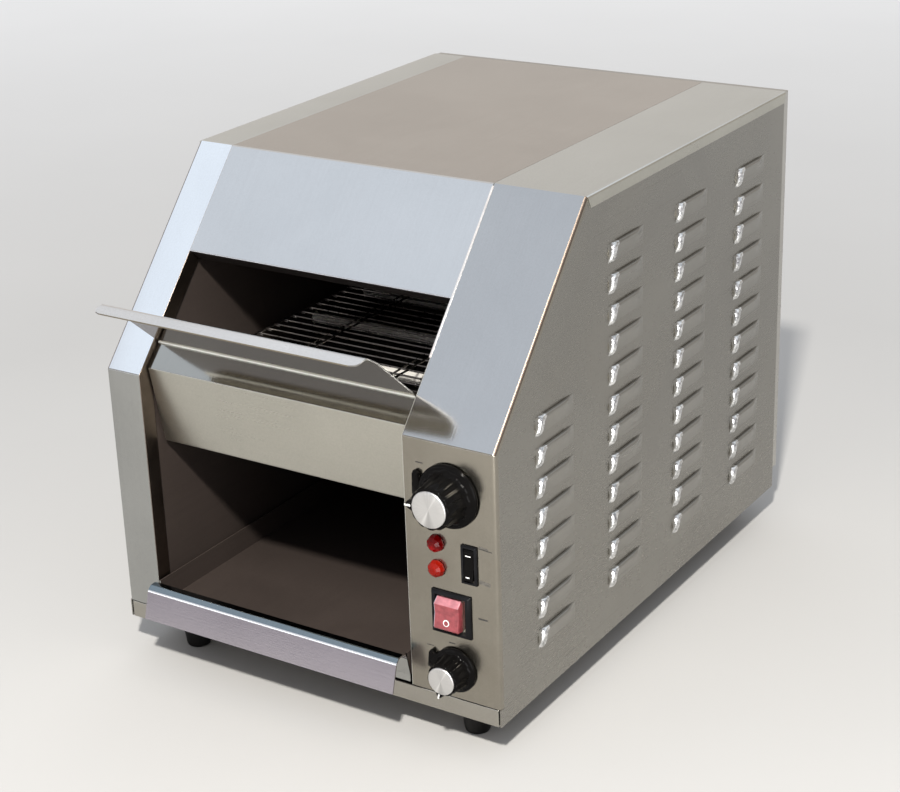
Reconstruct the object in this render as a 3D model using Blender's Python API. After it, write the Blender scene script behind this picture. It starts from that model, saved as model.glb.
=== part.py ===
"""Counter-top conveyor oven: slanted-front stainless cabinet, wire conveyor,
quartz heaters, return chute and pull-out output tray.

Units in the tables below are millimetres in the cabinet frame:
x to the right as seen from the front, y to the rear, z up,
origin on the cabinet's bottom face.  W() turns them into metres in the row
frame, whose origin is the bottom centre of the whole bounding box.
"""
import math
import bpy
import bmesh
from mathutils import Vector

for o in list(bpy.data.objects):
    bpy.data.objects.remove(o, do_unlink=True)
for m in list(bpy.data.meshes):
    bpy.data.meshes.remove(m)

OY = 13.0          # cabinet frame to row frame, along y
OZ = 31.0          # height of the feet
T = 1.2            # sheet thickness

FRONT = -249.5     # front plane of the columns
REAR = 249.5
Z1 = 226.0         # top of the vertical front
YT = -111.0        # front edge of the flat top
H = 382.0
XL, XR = -149.0, 103.0   # inner edges of the two columns
SIDE = 183.0       # outer face of the side panels


def W(p):
    return Vector((p[0] / 1000.0, (p[1] + OY) / 1000.0, (p[2] + OZ) / 1000.0))


def outline(d, z0, y1):
    """Cabinet outline in (y, z), moved inwards by d."""
    return [(FRONT + d, z0), (FRONT + d, Z1 - 0.380 * d),
            (YT + 0.45 * d, H - d), (y1, H - d)]


# ---------------------------------------------------------------- mesh tools
def new_obj(name, bm):
    bmesh.ops.recalc_face_normals(bm, faces=bm.faces[:])
    me = bpy.data.meshes.new(name)
    bm.to_mesh(me)
    bm.free()
    ob = bpy.data.objects.new(name, me)
    bpy.context.scene.collection.objects.link(ob)
    return ob


def prism(axis, poly, a, b, name="tmp"):
    """Polygon swept from a to b along axis. x: poly (y,z); y: (x,z); z: (x,y)."""
    bm = bmesh.new()
    rings = []
    for s in (a, b):
        ring = []
        for u, v in poly:
            if axis == "x":
                p = (s, u, v)
            elif axis == "y":
                p = (u, s, v)
            else:
                p = (u, v, s)
            ring.append(bm.verts.new(W(p)))
        rings.append(ring)
    n = len(poly)
    bm.faces.new(rings[0])
    bm.faces.new(rings[1][::-1])
    for i in range(n):
        j = (i + 1) % n
        bm.faces.new((rings[0][i], rings[0][j], rings[1][j], rings[1][i]))
    return new_obj(name, bm)


def box(x0, x1, y0, y1, z0, z1, name="tmp"):
    return prism("z", [(x0, y0), (x1, y0), (x1, y1), (x0, y1)], z0, z1, name)


def cyl(axis, c, r, a, b, n=16, name="tmp", phase=0.0):
    """c is the centre in the two other coordinates, in X, Y, Z order."""
    pts = []
    for i in range(n):
        w = 2 * math.pi * (i + 0.5) / n + phase
        pts.append((c[0] + r * math.cos(w), c[1] + r * math.sin(w)))
    return prism(axis, pts, a, b, name)


def lathe(axis, c, prof, n=16, name="tmp", ring=False):
    """prof: (a, r) pairs along the axis. Solid unless ring, then a closed loop."""
    bm = bmesh.new()

    def pos(a, r, w):
        u, v = c[0] + r * math.cos(w), c[1] + r * math.sin(w)
        if axis == "x":
            return W((a, u, v))
        if axis == "y":
            return W((u, a, v))
        return W((u, v, a))

    rows = []
    for a, r in prof:
        if r < 1e-6:
            rows.append([bm.verts.new(pos(a, 0, 0))])
        else:
            rows.append([bm.verts.new(pos(a, r, 2 * math.pi * (i + 0.5) / n))
                         for i in range(n)])
    pairs = list(zip(rows[:-1], rows[1:]))
    if ring:
        pairs.append((rows[-1], rows[0]))
    for p, q in pairs:
        for i in range(n):
            j = (i + 1) % n
            if len(p) == 1:
                bm.faces.new((p[0], q[j], q[i]))
            elif len(q) == 1:
                bm.faces.new((p[i], p[j], q[0]))
            else:
                bm.faces.new((p[i], p[j], q[j], q[i]))
    return new_obj(name, bm)


def hull(points, name="tmp"):
    bm = bmesh.new()
    vs = [bm.verts.new(W(p)) for p in points]
    r = bmesh.ops.convex_hull(bm, input=vs)
    junk = [g for g in r["geom_interior"] + r["geom_unused"]
            if isinstance(g, bmesh.types.BMVert)]
    if junk:
        bmesh.ops.delete(bm, geom=list(set(junk)), context="VERTS")
    bmesh.ops.dissolve_limit(bm, angle_limit=0.001, verts=bm.verts[:],
                             edges=bm.edges[:])
    return new_obj(name, bm)


def strip(path, t):
    """Open polyline to a closed outline, thickness t to the right of travel."""
    n = len(path)
    off = []
    for i in range(n):
        dirs = []
        if i > 0:
            dirs.append((path[i][0] - path[i - 1][0], path[i][1] - path[i - 1][1]))
        if i < n - 1:
            dirs.append((path[i + 1][0] - path[i][0], path[i + 1][1] - path[i][1]))
        ns = []
        for d in dirs:
            L = math.hypot(*d)
            ns.append((d[1] / L, -d[0] / L))
        sx, sy = sum(a[0] for a in ns), sum(a[1] for a in ns)
        L = math.hypot(sx, sy)
        mx, my = sx / L, sy / L
        k = t / (mx * ns[0][0] + my * ns[0][1])
        off.append((path[i][0] + mx * k, path[i][1] + my * k))
    return list(path) + off[::-1]


def joined(objs):
    bm = bmesh.new()
    for o in objs:
        bm.from_mesh(o.data)
    for o in objs:
        me = o.data
        bpy.data.objects.remove(o, do_unlink=True)
        bpy.data.meshes.remove(me)
    return new_obj("tmp", bm)


def boole(ob, tools, op):
    for tool in tools:
        md = ob.modifiers.new("b", "BOOLEAN")
        md.operation = op
        md.solver = "EXACT"
        md.object = tool
        bpy.context.view_layer.update()
        dg = bpy.context.evaluated_depsgraph_get()
        me = bpy.data.meshes.new_from_object(ob.evaluated_get(dg))
        ob.modifiers.clear()
        old = ob.data
        ob.data = me
        bpy.data.meshes.remove(old)
        tm = tool.data
        bpy.data.objects.remove(tool, do_unlink=True)
        bpy.data.meshes.remove(tm)
    return ob


def cut(ob, *tools):
    return boole(ob, tools, "DIFFERENCE")


def add(ob, *tools):
    return boole(ob, tools, "UNION")


def done(ob, name):
    ob.name = name
    ob.data.name = name
    bm = bmesh.new()
    bm.from_mesh(ob.data)
    bmesh.ops.remove_doubles(bm, verts=bm.verts[:], dist=1e-6)
    bmesh.ops.dissolve_degenerate(bm, dist=1e-6, edges=bm.edges[:])
    bmesh.ops.recalc_face_normals(bm, faces=bm.faces[:])
    bm.to_mesh(ob.data)
    bm.free()
    return ob


# ---------------------------------------------------------------- base and feet
pan = box(-181.5, 181.5, FRONT, REAR, 0, 15)
pan = cut(pan, box(-181.5 + T, 181.5 - T, FRONT + T, REAR - T, T, 40))
done(pan, "base_pan")

for sx, nx in ((-1, "left"), (1, "right")):
    for y, ny in ((-215.5, "front"), (214.0, "rear")):
        done(lathe("z", (sx * 141, y),
                   [(-0.15, 0), (-0.15, 14), (-3, 14), (-31, 9.6), (-31, 0)], 16),
             "foot_%s_%s" % (ny, nx))


# ---------------------------------------------------------------- side panels
def side_panel(sg, name):
    poly = outline(1.6, 0.2, 248.2) + [(248.2, 0.2)]
    a, b = sorted((sg * (SIDE - T), sg * SIDE))
    p = prism("x", poly, a, b)
    hoods, holes = [], []
    for k, (y0, count) in enumerate(((-192, 8), (-78, 12), (36.5, 12), (150, 12))):
        for i in range(count):
            zb = 48.5 + 25.4 * i - 8.0
            y1, h, out = y0 + 58.0, 15.5, 5.6
            X = SIDE
            pts = []
            for xx in (X - 0.6, X):
                pts += [(xx, y0, zb), (xx, y1, zb), (xx, y0, zb + h), (xx, y1, zb + h)]
            pts += [(X + out, y0 + 4.5, zb + h), (X + out, y1 - 4.5, zb + h)]
            hoods.append(hull([(sg * q[0], q[1], q[2]) for q in pts]))
            w = 1.3
            pts = []
            for xx in (X - 4, X):
                pts += [(xx, y0 + 1.6, zb + 3.4), (xx, y1 - 1.6, zb + 3.4),
                        (xx, y0 + 1.6, zb + h + 0.6), (xx, y1 - 1.6, zb + h + 0.6)]
            pts += [(X + out - w, y0 + 5.2, zb + h + 0.6),
                    (X + out - w, y1 - 5.2, zb + h + 0.6)]
            holes.append(hull([(sg * q[0], q[1], q[2]) for q in pts]))
    add(p, joined(hoods))
    cut(p, joined(holes))
    done(p, name)


side_panel(1, "right_side_panel")
side_panel(-1, "left_side_panel")


# ---------------------------------------------------------------- column bands
def band(sg, x_in, x_out, name):
    out_p = outline(0, 15.7, REAR)
    in_p = outline(T, 15.7, REAR)
    a, b = sorted((x_in, x_out))
    p = prism("x", out_p + in_p[::-1], a, b)
    # return flange on the inner edge, front and slant
    o2 = outline(0.2, 15.7, REAR)[:3]
    i2 = outline(14.0, 15.7, REAR)[:2]
    tip = (YT + 0.45 * 0.2 + 6.0, H - 0.2)
    poly = o2[:3] + [(YT + 8.0, H - 0.2), (YT + 8.0, H - 9.0)] + i2[::-1]
    c, d = sorted((x_in, x_in + sg * T))
    add(p, prism("x", poly, c, d))
    # flange turned down over the side panel, along the flat top
    e, f = sorted((x_out - sg * 1.0, x_out))
    poly = [(YT + 0.5, H - 0.15), (246.8, H - 0.15), (246.8, H - 1.5),
            (238.0, H - 9.8), (-102.0, H - 9.8), (YT + 0.5, H - 2.0)]
    add(p, prism("x", poly, e, f))
    return p


KX, KZ = 144.0, 186.0      # speed knob
SX, SZ = 144.5, 40.5       # selector knob
BX, BZ = 160.0, 133.0      # small rocker
RX, RZ = 143.0, 88.0       # large rocker
LAMPS = ((131.0, 144.5), (131.0, 123.5))

rb = band(1, XR, 184.2, "right_column_band")
tools = [cyl("y", (KX, KZ), 4.5, FRONT - 4, FRONT + 6, 16),
         cyl("y", (SX, SZ), 4.5, FRONT - 4, FRONT + 6, 16),
         box(BX - 6.0, BX + 6.0, FRONT - 4, FRONT + 6, BZ - 15.0, BZ + 15.0),
         box(RX - 15.0, RX + 15.0, FRONT - 4, FRONT + 6, RZ - 16.7, RZ + 16.7)]
for lx, lz in LAMPS:
    tools.append(cyl("y", (lx, lz), 6.0, FRONT - 4, FRONT + 6, 12))
cut(rb, joined(tools))
done(rb, "right_column_band")
done(band(-1, XL, -184.2, "left_column_band"), "left_column_band")

# ---------------------------------------------------------------- top cover
s0 = (309.0 - Z1) / 0.748
lo = (FRONT + 0.664 * s0, 309.0)
o = [lo, (YT, H), (REAR, H)]
inner = outline(T, 0, REAR)
lo_in = (lo[0] + 0.748 * T, lo[1] - 0.664 * T)
cover = prism("x", o + [(REAR, H - T), inner[2], lo_in], XL + 0.35, XR - 0.35)
lip = [lo, (lo[0] + 0.664 * T, lo[1] + 0.748 * T),
       (lo[0] + 0.664 * T + 0.748 * 12, lo[1] + 0.748 * T - 0.664 * 12),
       (lo[0] + 0.748 * 12, lo[1] - 0.664 * 12)]
add(cover, prism("x", lip, XL + 0.35, XR - 0.35))
done(cover, "top_cover")

# ---------------------------------------------------------------- front panel, feed slide
path = [(-213.0, 161.0), (-226.5, 161.0), (-239.7, 229.3), (-224.2, 245.9)]
done(prism("x", strip(path, T), -147.5, 101.4), "front_centre_panel")

path = [(-298.0, 296.2), (-285.0, 298.3), (-278.8, 296.0), (-272.5, 291.0), (-224.0, 248.3),
        (-187.0, 226.0)]
done(prism("x", strip(path, T), -147.0, 101.0), "feed_slide")

# ---------------------------------------------------------------- inner walls
BELT_Z = 198.0
IDLER = (-165.0, BELT_Z)
DRIVE = (150.0, BELT_Z)
UP = [(-70.0, 318.0), (10.0, 318.0), (90.0, 318.0)]
LOW = [(-90.0, BELT_Z), (-10.0, BELT_Z), (70.0, BELT_Z)]
for nm, a, b in (("left_inner_wall", -151.9, -150.7), ("right_inner_wall", 104.7, 105.9)):
    poly = outline(1.8, 1.6, 248.0) + [(248.0, 1.6)]
    p = prism("x", poly, a, b)
    hs = [cyl("x", c, 8.5, a - 3, b + 3, 16) for c in (IDLER, DRIVE)]
    hs += [cyl("x", c, 6.3, a - 3, b + 3, 12) for c in UP + LOW]
    cut(p, joined(hs))
    done(p, nm)

done(box(-150.3, 104.3, 226.0, 226.0 + T, 1.8, 378.0), "rear_inner_wall")
done(box(-150.3, 104.3, -225.6, 120.0, 168.0, 168.0 + T), "belt_shield")
path = [(224.4, 172.0), (215.0, 112.0), (180.0, 72.0), (100.0, 46.0), (6.0, 30.0)]
done(prism("x", strip(path, T), -144.6, 98.6), "return_chute")
path = [(-140.0, 322.0), (-128.0, 346.0), (200.0, 346.0), (212.0, 330.0)]
done(prism("x", strip(path, T), -148.6, 102.6), "upper_reflector")
path = [(-112.0, 192.0), (-104.0, 183.0), (84.0, 183.0), (92.0, 192.0)]
done(prism("x", strip(path, T), -148.6, 102.6), "lower_reflector")

# ---------------------------------------------------------------- heaters
for k, c in enumerate(UP):
    done(cyl("x", c, 5.0, -160.0, 114.0, 12), "upper_heater_%d" % (k + 1))
for k, c in enumerate(LOW):
    done(cyl("x", c, 5.0, -160.0, 114.0, 12), "lower_heater_%d" % (k + 1))
for row, cs in (("upper", UP), ("lower", LOW)):
    for sd, a, b in (("left", -158.2, -152.2), ("right", 106.2, 112.2)):
        p = box(a, b, cs[0][0] - 12, cs[2][0] + 12, cs[0][1] - 8, cs[0][1] + 8)
        cut(p, joined([cyl("x", c, 5.4, a - 2, b + 2, 12) for c in cs]))
        done(p, "%s_heater_holder_%s" % (row, sd))

# ---------------------------------------------------------------- conveyor
def roller(c, x1, name):
    prof = [(-165.0, 0), (-165.0, 5.0)]
    for m in (-109.0, -23.0, 63.0):
        prof += [(m - 3, 5.0), (m - 3, 21.4), (m + 3, 21.4), (m + 3, 5.0)]
    prof += [(x1, 5.0), (x1, 0)]
    done(lathe("x", c, prof, 16), name)


roller(DRIVE, 121.0, "drive_shaft")
roller(IDLER, 117.0, "idler_shaft")

for nm, c in (("drive", DRIVE), ("idler", IDLER)):
    pl = [(-156.4, 5.14), (-156.4, 13.0), (-152.2, 13.0), (-152.2, 8.1), (-147.0, 8.1), (-147.0, 5.14)]
    pr = [(101.0, 5.14), (101.0, 8.1), (106.2, 8.1), (106.2, 13.0), (110.4, 13.0), (110.4, 5.14)]
    done(lathe("x", c, pl, 16, ring=True), "%s_bearing_left" % nm)
    done(lathe("x", c, pr, 16, ring=True), "%s_bearing_right" % nm)


def loop_path(s, r, ca, cb):
    """Point at distance s along the belt's centre line, moved out by r - 24."""
    span = cb[0] - ca[0]
    arc = math.pi * 24.0
    total = 2 * span + 2 * arc
    s %= total
    if s < span:                                   # top strand, front to rear
        return (ca[0] + s, ca[1] + r)
    s -= span
    if s < arc:
        w = math.pi / 2 - s / 24.0
        return (cb[0] + r * math.cos(w), cb[1] + r * math.sin(w))
    s -= arc
    if s < span:
        return (cb[0] - s, cb[1] - r)
    s -= span
    w = -math.pi / 2 - s / 24.0
    return (ca[0] + r * math.cos(w), ca[1] + r * math.sin(w))


def ladder_belt(name, n_rungs, rung, xs):
    total = 2 * (DRIVE[0] - IDLER[0]) + 2 * math.pi * 24.0
    pitch = total / n_rungs
    stations = []
    for i in range(n_rungs):
        stations += [i * pitch, i * pitch + rung]
    m = len(stations)
    bm = bmesh.new()
    V = {}
    for i, s in enumerate(stations):
        for j, x in enumerate(xs):
            for k, r in enumerate((23.2, 24.8)):
                y, z = loop_path(s, r, IDLER, DRIVE)
                V[i, j, k] = bm.verts.new(W((x, y, z)))
    cols = len(xs) - 1

    def solid(i, j):
        if j < 0 or j >= cols:
            return False
        return i % 2 == 0 or j % 2 == 0

    for i in range(m):
        i2 = (i + 1) % m
        for j in range(cols):
            if not solid(i, j):
                continue
            bm.faces.new((V[i, j, 1], V[i, j + 1, 1], V[i2, j + 1, 1], V[i2, j, 1]))
            bm.faces.new((V[i, j, 0], V[i2, j, 0], V[i2, j + 1, 0], V[i, j + 1, 0]))
            if not solid(i, j - 1):
                bm.faces.new((V[i, j, 0], V[i, j, 1], V[i2, j, 1], V[i2, j, 0]))
            if not solid(i, j + 1):
                bm.faces.new((V[i, j + 1, 0], V[i2, j + 1, 0], V[i2, j + 1, 1], V[i, j + 1, 1]))
            if not solid((i - 1) % m, j):
                bm.faces.new((V[i, j, 0], V[i, j + 1, 0], V[i, j + 1, 1], V[i, j, 1]))
            if not solid(i2, j):
                bm.faces.new((V[i2, j, 0], V[i2, j, 1], V[i2, j + 1, 1], V[i2, j + 1, 0]))
    for v in [v for v in bm.verts if not v.link_faces]:
        bm.verts.remove(v)
    done(new_obj(name, bm), name)


ladder_belt("conveyor_belt", 43, 3.4, (-132.0, -129.0, -24.5, -21.5, 83.0, 86.0))


# ---------------------------------------------------------------- chain drive
MOT = (100.0, 110.0)


def gear_pts(c, teeth, r_root, r_tip):
    pts = []
    for i in range(teeth):
        for f, r in ((0.0, r_root), (0.30, r_root), (0.42, r_tip), (0.58, r_tip), (0.70, r_root)):
            if f == 0.0:
                continue
            w = 2 * math.pi * (i + f) / teeth
            pts.append((c[0] + r * math.cos(w), c[1] + r * math.sin(w)))
    return pts


def sprocket(c, teeth, r_root, r_tip, bore, hub_r, name, shaft=None):
    p = prism("x", gear_pts(c, teeth, r_root, r_tip), 114.4, 117.0)
    add(p, cyl("x", c, hub_r, 112.6, 119.4, 16))
    if bore:
        cut(p, cyl("x", c, bore, 100, 130, 16))
    if shaft:
        add(p, cyl("x", c, shaft[0], 116.0, shaft[1], 16))
    done(p, name)


sprocket(DRIVE, 20, 19.2, 21.5, 5.2, 9.0, "drive_sprocket")
sprocket(MOT, 12, 11.2, 13.2, None, 7.0, "motor_sprocket", (4.0, 140.0))


def two_pulley(c1, r1, c2, r2, n):
    """Open-belt outline round two circles, as a polygon that stays outside them."""
    d = math.hypot(c2[0] - c1[0], c2[1] - c1[1])
    th = math.atan2(c2[1] - c1[1], c2[0] - c1[0])
    al = math.asin((r2 - r1) / d)
    pts = []
    for c, r, w0, w1 in ((c2, r2, th - math.pi / 2 - al, th + math.pi / 2 + al),
                         (c1, r1, th + math.pi / 2 + al, th + 3 * math.pi / 2 - al)):
        k = n
        step = (w1 - w0) / k
        rr = r / math.cos(step / 2)
        for i in range(k):
            w = w0 + step * (i + 0.5)
            pts.append((c[0] + rr * math.cos(w), c[1] + rr * math.sin(w)))
    return pts


outer = two_pulley(MOT, 15.2, DRIVE, 23.6, 10)
inner_p = two_pulley(MOT, 13.7, DRIVE, 22.1, 10)
ch = prism("x", outer, 114.7, 116.7)
cut(ch, prism("x", inner_p, 110, 121))
done(ch, "drive_chain")

br = box(126.0, 126.0 + T, 66.0, 134.0, 76.0, 146.0)
add(br, box(106.3, 126.6, 66.0, 134.0, 76.0, 76.0 + T))
add(br, box(106.3, 106.3 + T, 66.0, 134.0, 60.0, 76.6))
cut(br, cyl("x", MOT, 9.0, 120, 132, 16))
done(br, "motor_bracket")

mo = box(127.5, 150.0, 70.0, 130.0, 80.0, 142.0)
add(mo, cyl("x", (100.0, 111.0), 24.0, 149.0, 177.0, 20))
cut(mo, cyl("x", MOT, 4.15, 120, 142, 16))
done(mo, "gear_motor")

# ---------------------------------------------------------------- fan
FX, FZ = 143.5, 318.0
fr = box(FX - 30, FX + 30, 231.0, 256.6, FZ - 30, FZ + 30)
cut(fr, cyl("y", (FX, FZ), 28.0, 225, 262, 20))
add(fr, box(FX - 29, FX + 29, 231.0, 233.6, FZ - 2.5, FZ + 2.5))
add(fr, box(FX - 2.5, FX + 2.5, 231.0, 233.6, FZ - 29, FZ + 29))
add(fr, cyl("y", (FX, FZ), 12.0, 230.9, 233.8, 16))
done(fr, "fan_frame")
ro = cyl("y", (FX, FZ), 11.0, 234.4, 252.0, 16)
for i in range(7):
    w = 2 * math.pi * i / 7
    cs, sn = math.cos(w), math.sin(w)
    pts = []
    for r0, tw in ((9.5, 5.0), (26.4, 6.2)):
        for yy, off in ((237.0, -tw), (249.5, tw)):
            for e in (-0.6, 0.6):
                q = off + e
                pts.append((FX + r0 * cs - q * sn, yy, FZ + r0 * sn + q * cs))
    add(ro, hull(pts))
done(ro, "fan_rotor")

# ---------------------------------------------------------------- rear cover, gland
rc = box(-182.8, 182.8, 250.0, 258.5, 18.0, 381.2)
cut(rc, box(-182.8 + T, 182.8 - T, 240.0, 258.5 - T, 18.0 + T, 381.2 - T))
tools = []
for i in range(7):
    zc = FZ - 24 + 8 * i
    tools.append(box(FX - 24, FX + 24, 250, 262, zc - 2, zc + 2))
for i in range(10):
    zc = 90 + 14 * i
    tools.append(box(-172, -158, 250, 262, zc - 2.5, zc + 2.5))
tools.append(cyl("y", (FX, 48.0), 8.3, 250, 262, 16))
cut(rc, joined(tools))
done(rc, "rear_cover")
done(lathe("y", (FX, 48.0), [(247.0, 4.6), (247.0, 8.0), (258.8, 8.0), (258.8, 12.0),
                             (265.0, 12.0), (272.0, 8.5), (272.0, 4.6)], 16, ring=True),
     "cable_gland")

# ---------------------------------------------------------------- control parts
def block_with_bore(x0, x1, y0, y1, z0, z1, c, name):
    p = box(x0, x1, y0, y1, z0, z1)
    cut(p, cyl("y", c, 3.08, y0 - 3, y0 + 12, 24))
    done(p, name)


block_with_bore(KX - 13, KX + 13, -247.9, -229.0, KZ - 13, KZ + 13, (KX, KZ), "speed_control")
block_with_bore(SX - 17, SX + 17, -247.9, -212.0, SZ - 17, SZ + 17, (SX, SZ), "selector_switch")

def knob(c, prof, cap_r, nose, name):
    """nose: (direction in degrees, inner r, outer r, half width, y range)."""
    p = lathe("y", c, prof, 24)
    for w, r0, r1, hw, ya, yb in nose:
        w = math.radians(w)
        cs, sn = math.cos(w), math.sin(w)
        poly = [(c[0] + r * cs - q * sn, c[1] + r * sn + q * cs)
                for r, q in ((r0, -hw), (r1, -hw * 0.6), (r1, hw * 0.6), (r0, hw))]
        add(p, prism("y", poly, ya, yb))
    done(p, name)
    yf = prof[-1][0] - 0.15
    done(lathe("y", c, [(yf, 0), (yf, cap_r), (yf - 0.8, cap_r), (yf - 1.2, cap_r - 0.6),
                        (yf - 1.2, 0)], 24), name + "_cap")


knob((KX, KZ), [(-237.5, 0), (-237.5, 3.0), (-249.8, 3.0), (-249.8, 25.5), (-252.0, 25.5),
                (-254.0, 20.0), (-256.0, 17.6), (-276.0, 16.4), (-277.2, 15.2), (-277.2, 0)],
     14.6, [(180, 6, 22.5, 4.0, -252.5, -275.0)], "speed_knob")
knob((SX, SZ), [(-237.5, 0), (-237.5, 3.0), (-249.8, 3.0), (-249.8, 18.5), (-251.6, 18.5),
                (-253.0, 15.0), (-254.6, 13.4), (-269.2, 12.6), (-270.2, 12.0), (-270.2, 0)],
     11.4, [(135, 5, 17.0, 3.2, -252.0, -268.0)], "selector_knob")

for nm, (lx, lz) in zip(("upper", "lower"), LAMPS):
    done(lathe("y", (lx, lz), [(-236.0, 0), (-236.0, 5.6), (-249.8, 5.6), (-249.8, 7.5),
                               (-251.0, 7.5), (-254.2, 6.0), (-256.4, 3.2), (-257.2, 0)], 12),
         "indicator_lamp_%s" % nm)


def rocker(c, fl, fl_t, hs, pk, rk, yp, vf, dip, name):
    bz = box(c[0] - fl[0], c[0] + fl[0], -249.8 - fl_t, -249.8, c[1] - fl[1], c[1] + fl[1])
    add(bz, box(c[0] - hs[0], c[0] + hs[0], -250.4, -231.0, c[1] - hs[1], c[1] + hs[1]))
    cut(bz, box(c[0] - pk[0], c[0] + pk[0], -262.0, -234.5, c[1] - pk[1], c[1] + pk[1]))
    done(bz, name + "_bezel")
    a = math.radians(-8.0)
    pts = []
    for u, v in ((-rk[1], vf), (0, vf - dip), (rk[1], vf), (rk[1], 0), (rk[1] * 0.35, -6.5),
                 (-rk[1] * 0.35, -6.5), (-rk[1], 0)):
        uu = u * math.cos(a) - v * math.sin(a)
        vv = u * math.sin(a) + v * math.cos(a)
        pts.append((yp - vv, c[1] + uu))
    done(prism("x", pts, c[0] - rk[0], c[0] + rk[0]), name)


rocker((BX, BZ), (7.0, 16.0), 2.0, (5.6, 14.6), (4.4, 13.6), (4.1, 12.5), -247.0, 6.0, 1.4,
       "small_rocker")
rocker((RX, RZ), (17.5, 18.0), 3.4, (14.6, 16.3), (13.0, 14.9), (12.6, 13.3), -248.0, 9.0, 1.6,
       "large_rocker")

# ---------------------------------------------------------------- tray and runners
path = [(30.0, 22.0), (-248.0, 22.0), (-252.0, 40.5), (-255.0, 43.2), (-261.0, 43.2),
        (-265.0, 40.5), (-272.0, 17.3)]
tray = prism("x", strip(path, T), -147.0, 101.0)
add(tray, box(-147.0, 101.0, -248.0, -246.8, 16.4, 22.6))
fl = [(-247.2, 22.1), (29.9, 22.1), (29.9, 36.0), (22.0, 43.4), (-251.0, 43.4), (-252.2, 41.6)]
add(tray, prism("x", fl, -147.0, -147.0 + T))
add(tray, prism("x", fl, 101.0 - T, 101.0))
done(tray, "output_tray")
for nm, x0, x1, xa, xb in (("left", -149.6, -137.6, -149.6, -148.4),
                           ("right", 91.6, 103.6, 102.4, 103.6)):
    p = box(x0, x1, -234.6, 35.0, 20.5, 21.7)
    add(p, box(xa, xb, -234.6, 35.0, 1.6, 21.0))
    done(p, "tray_runner_%s" % nm)
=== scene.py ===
import math

import bmesh
import bpy
from mathutils import Matrix, Vector


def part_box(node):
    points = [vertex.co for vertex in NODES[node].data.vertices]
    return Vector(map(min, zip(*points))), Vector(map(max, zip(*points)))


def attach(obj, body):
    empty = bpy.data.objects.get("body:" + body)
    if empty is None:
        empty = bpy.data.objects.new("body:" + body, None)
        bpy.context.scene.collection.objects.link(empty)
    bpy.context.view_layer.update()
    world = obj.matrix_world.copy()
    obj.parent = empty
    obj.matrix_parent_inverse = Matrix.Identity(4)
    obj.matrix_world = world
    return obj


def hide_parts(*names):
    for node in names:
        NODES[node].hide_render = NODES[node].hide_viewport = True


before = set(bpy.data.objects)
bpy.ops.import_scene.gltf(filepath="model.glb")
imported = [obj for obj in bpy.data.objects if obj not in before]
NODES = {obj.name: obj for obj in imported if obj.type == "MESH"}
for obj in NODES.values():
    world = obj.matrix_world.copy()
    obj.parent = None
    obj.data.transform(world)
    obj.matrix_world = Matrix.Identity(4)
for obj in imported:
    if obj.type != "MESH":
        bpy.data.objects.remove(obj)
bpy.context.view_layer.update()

# ---------- frame
# Lengths are millimetres in the cabinet frame: x right, y to the rear, z up from the
# cabinet's underside. Its place comes from the CAD base pan.
FRONT, REAR = -249.5, 249.5          # front and rear face
Z1, YT, H = 226.0, -111.0, 382.0     # foot and top of the slant, roof
XL, XR = -149.0, 103.0               # inner edges of the two columns
SIDE_X = 183.8                       # outer face of the side panels
T = 1.2                              # sheet thickness
SMOOTH = 32.0                        # edges sharper than this stay sharp, degrees
base_lo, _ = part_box("base_pan")
OY = base_lo.y * 1000 - FRONT
OZ = base_lo.z * 1000


def V(x, y, z):
    return Vector((x / 1000.0, (y + OY) / 1000.0, (z + OZ) / 1000.0))


def centre(node):
    lo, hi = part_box(node)
    m = (lo + hi) / 2 * 1000
    return m.x, m.y - OY, m.z - OZ


# ---------- camera
cam_data = bpy.data.cameras.new("camera")
cam = bpy.data.objects.new("camera", cam_data)
bpy.context.scene.collection.objects.link(cam)
bpy.context.scene.camera = cam
cam_data.sensor_fit = "HORIZONTAL"
cam_data.lens = 79.58
cam_data.clip_start = 0.05
cam_data.clip_end = 30.0
AZIMUTH, ELEVATION, ROLL = (math.radians(a) for a in (33.26, 22.21, -1.96))
back = Vector((math.sin(AZIMUTH) * math.cos(ELEVATION), -math.cos(AZIMUTH) * math.cos(ELEVATION),
               math.sin(ELEVATION)))
right = Vector((math.cos(AZIMUTH), math.sin(AZIMUTH), 0))
up = back.cross(right)
turn = Matrix((right * math.cos(ROLL) + up * math.sin(ROLL),
               -right * math.sin(ROLL) + up * math.cos(ROLL), back)).transposed().to_4x4()
turn.translation = V(872.0, -1354.0, 805.0)
cam.matrix_world = turn


# ---------- mesh tools
def link(name, me):
    ob = bpy.data.objects.new(name, me)
    bpy.context.scene.collection.objects.link(ob)
    return ob


def shade(ob, angle=SMOOTH):
    me = ob.data
    for p in me.polygons:
        p.use_smooth = True
    me.set_sharp_from_angle(angle=math.radians(angle))


def from_bmesh(name, bm, angle=SMOOTH, me=None):
    me = me or bpy.data.meshes.new(name)
    bm.to_mesh(me)
    bm.free()
    ob = link(name, me)
    shade(ob, angle)
    return ob


def build(name, verts, faces, angle=SMOOTH):
    me = bpy.data.meshes.new(name)
    me.from_pydata([V(*v) for v in verts], [], faces)
    bm = bmesh.new()
    bm.from_mesh(me)
    bmesh.ops.remove_doubles(bm, verts=bm.verts[:], dist=2e-6)
    bmesh.ops.recalc_face_normals(bm, faces=bm.faces[:])
    return from_bmesh(name, bm, angle, me)


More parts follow.
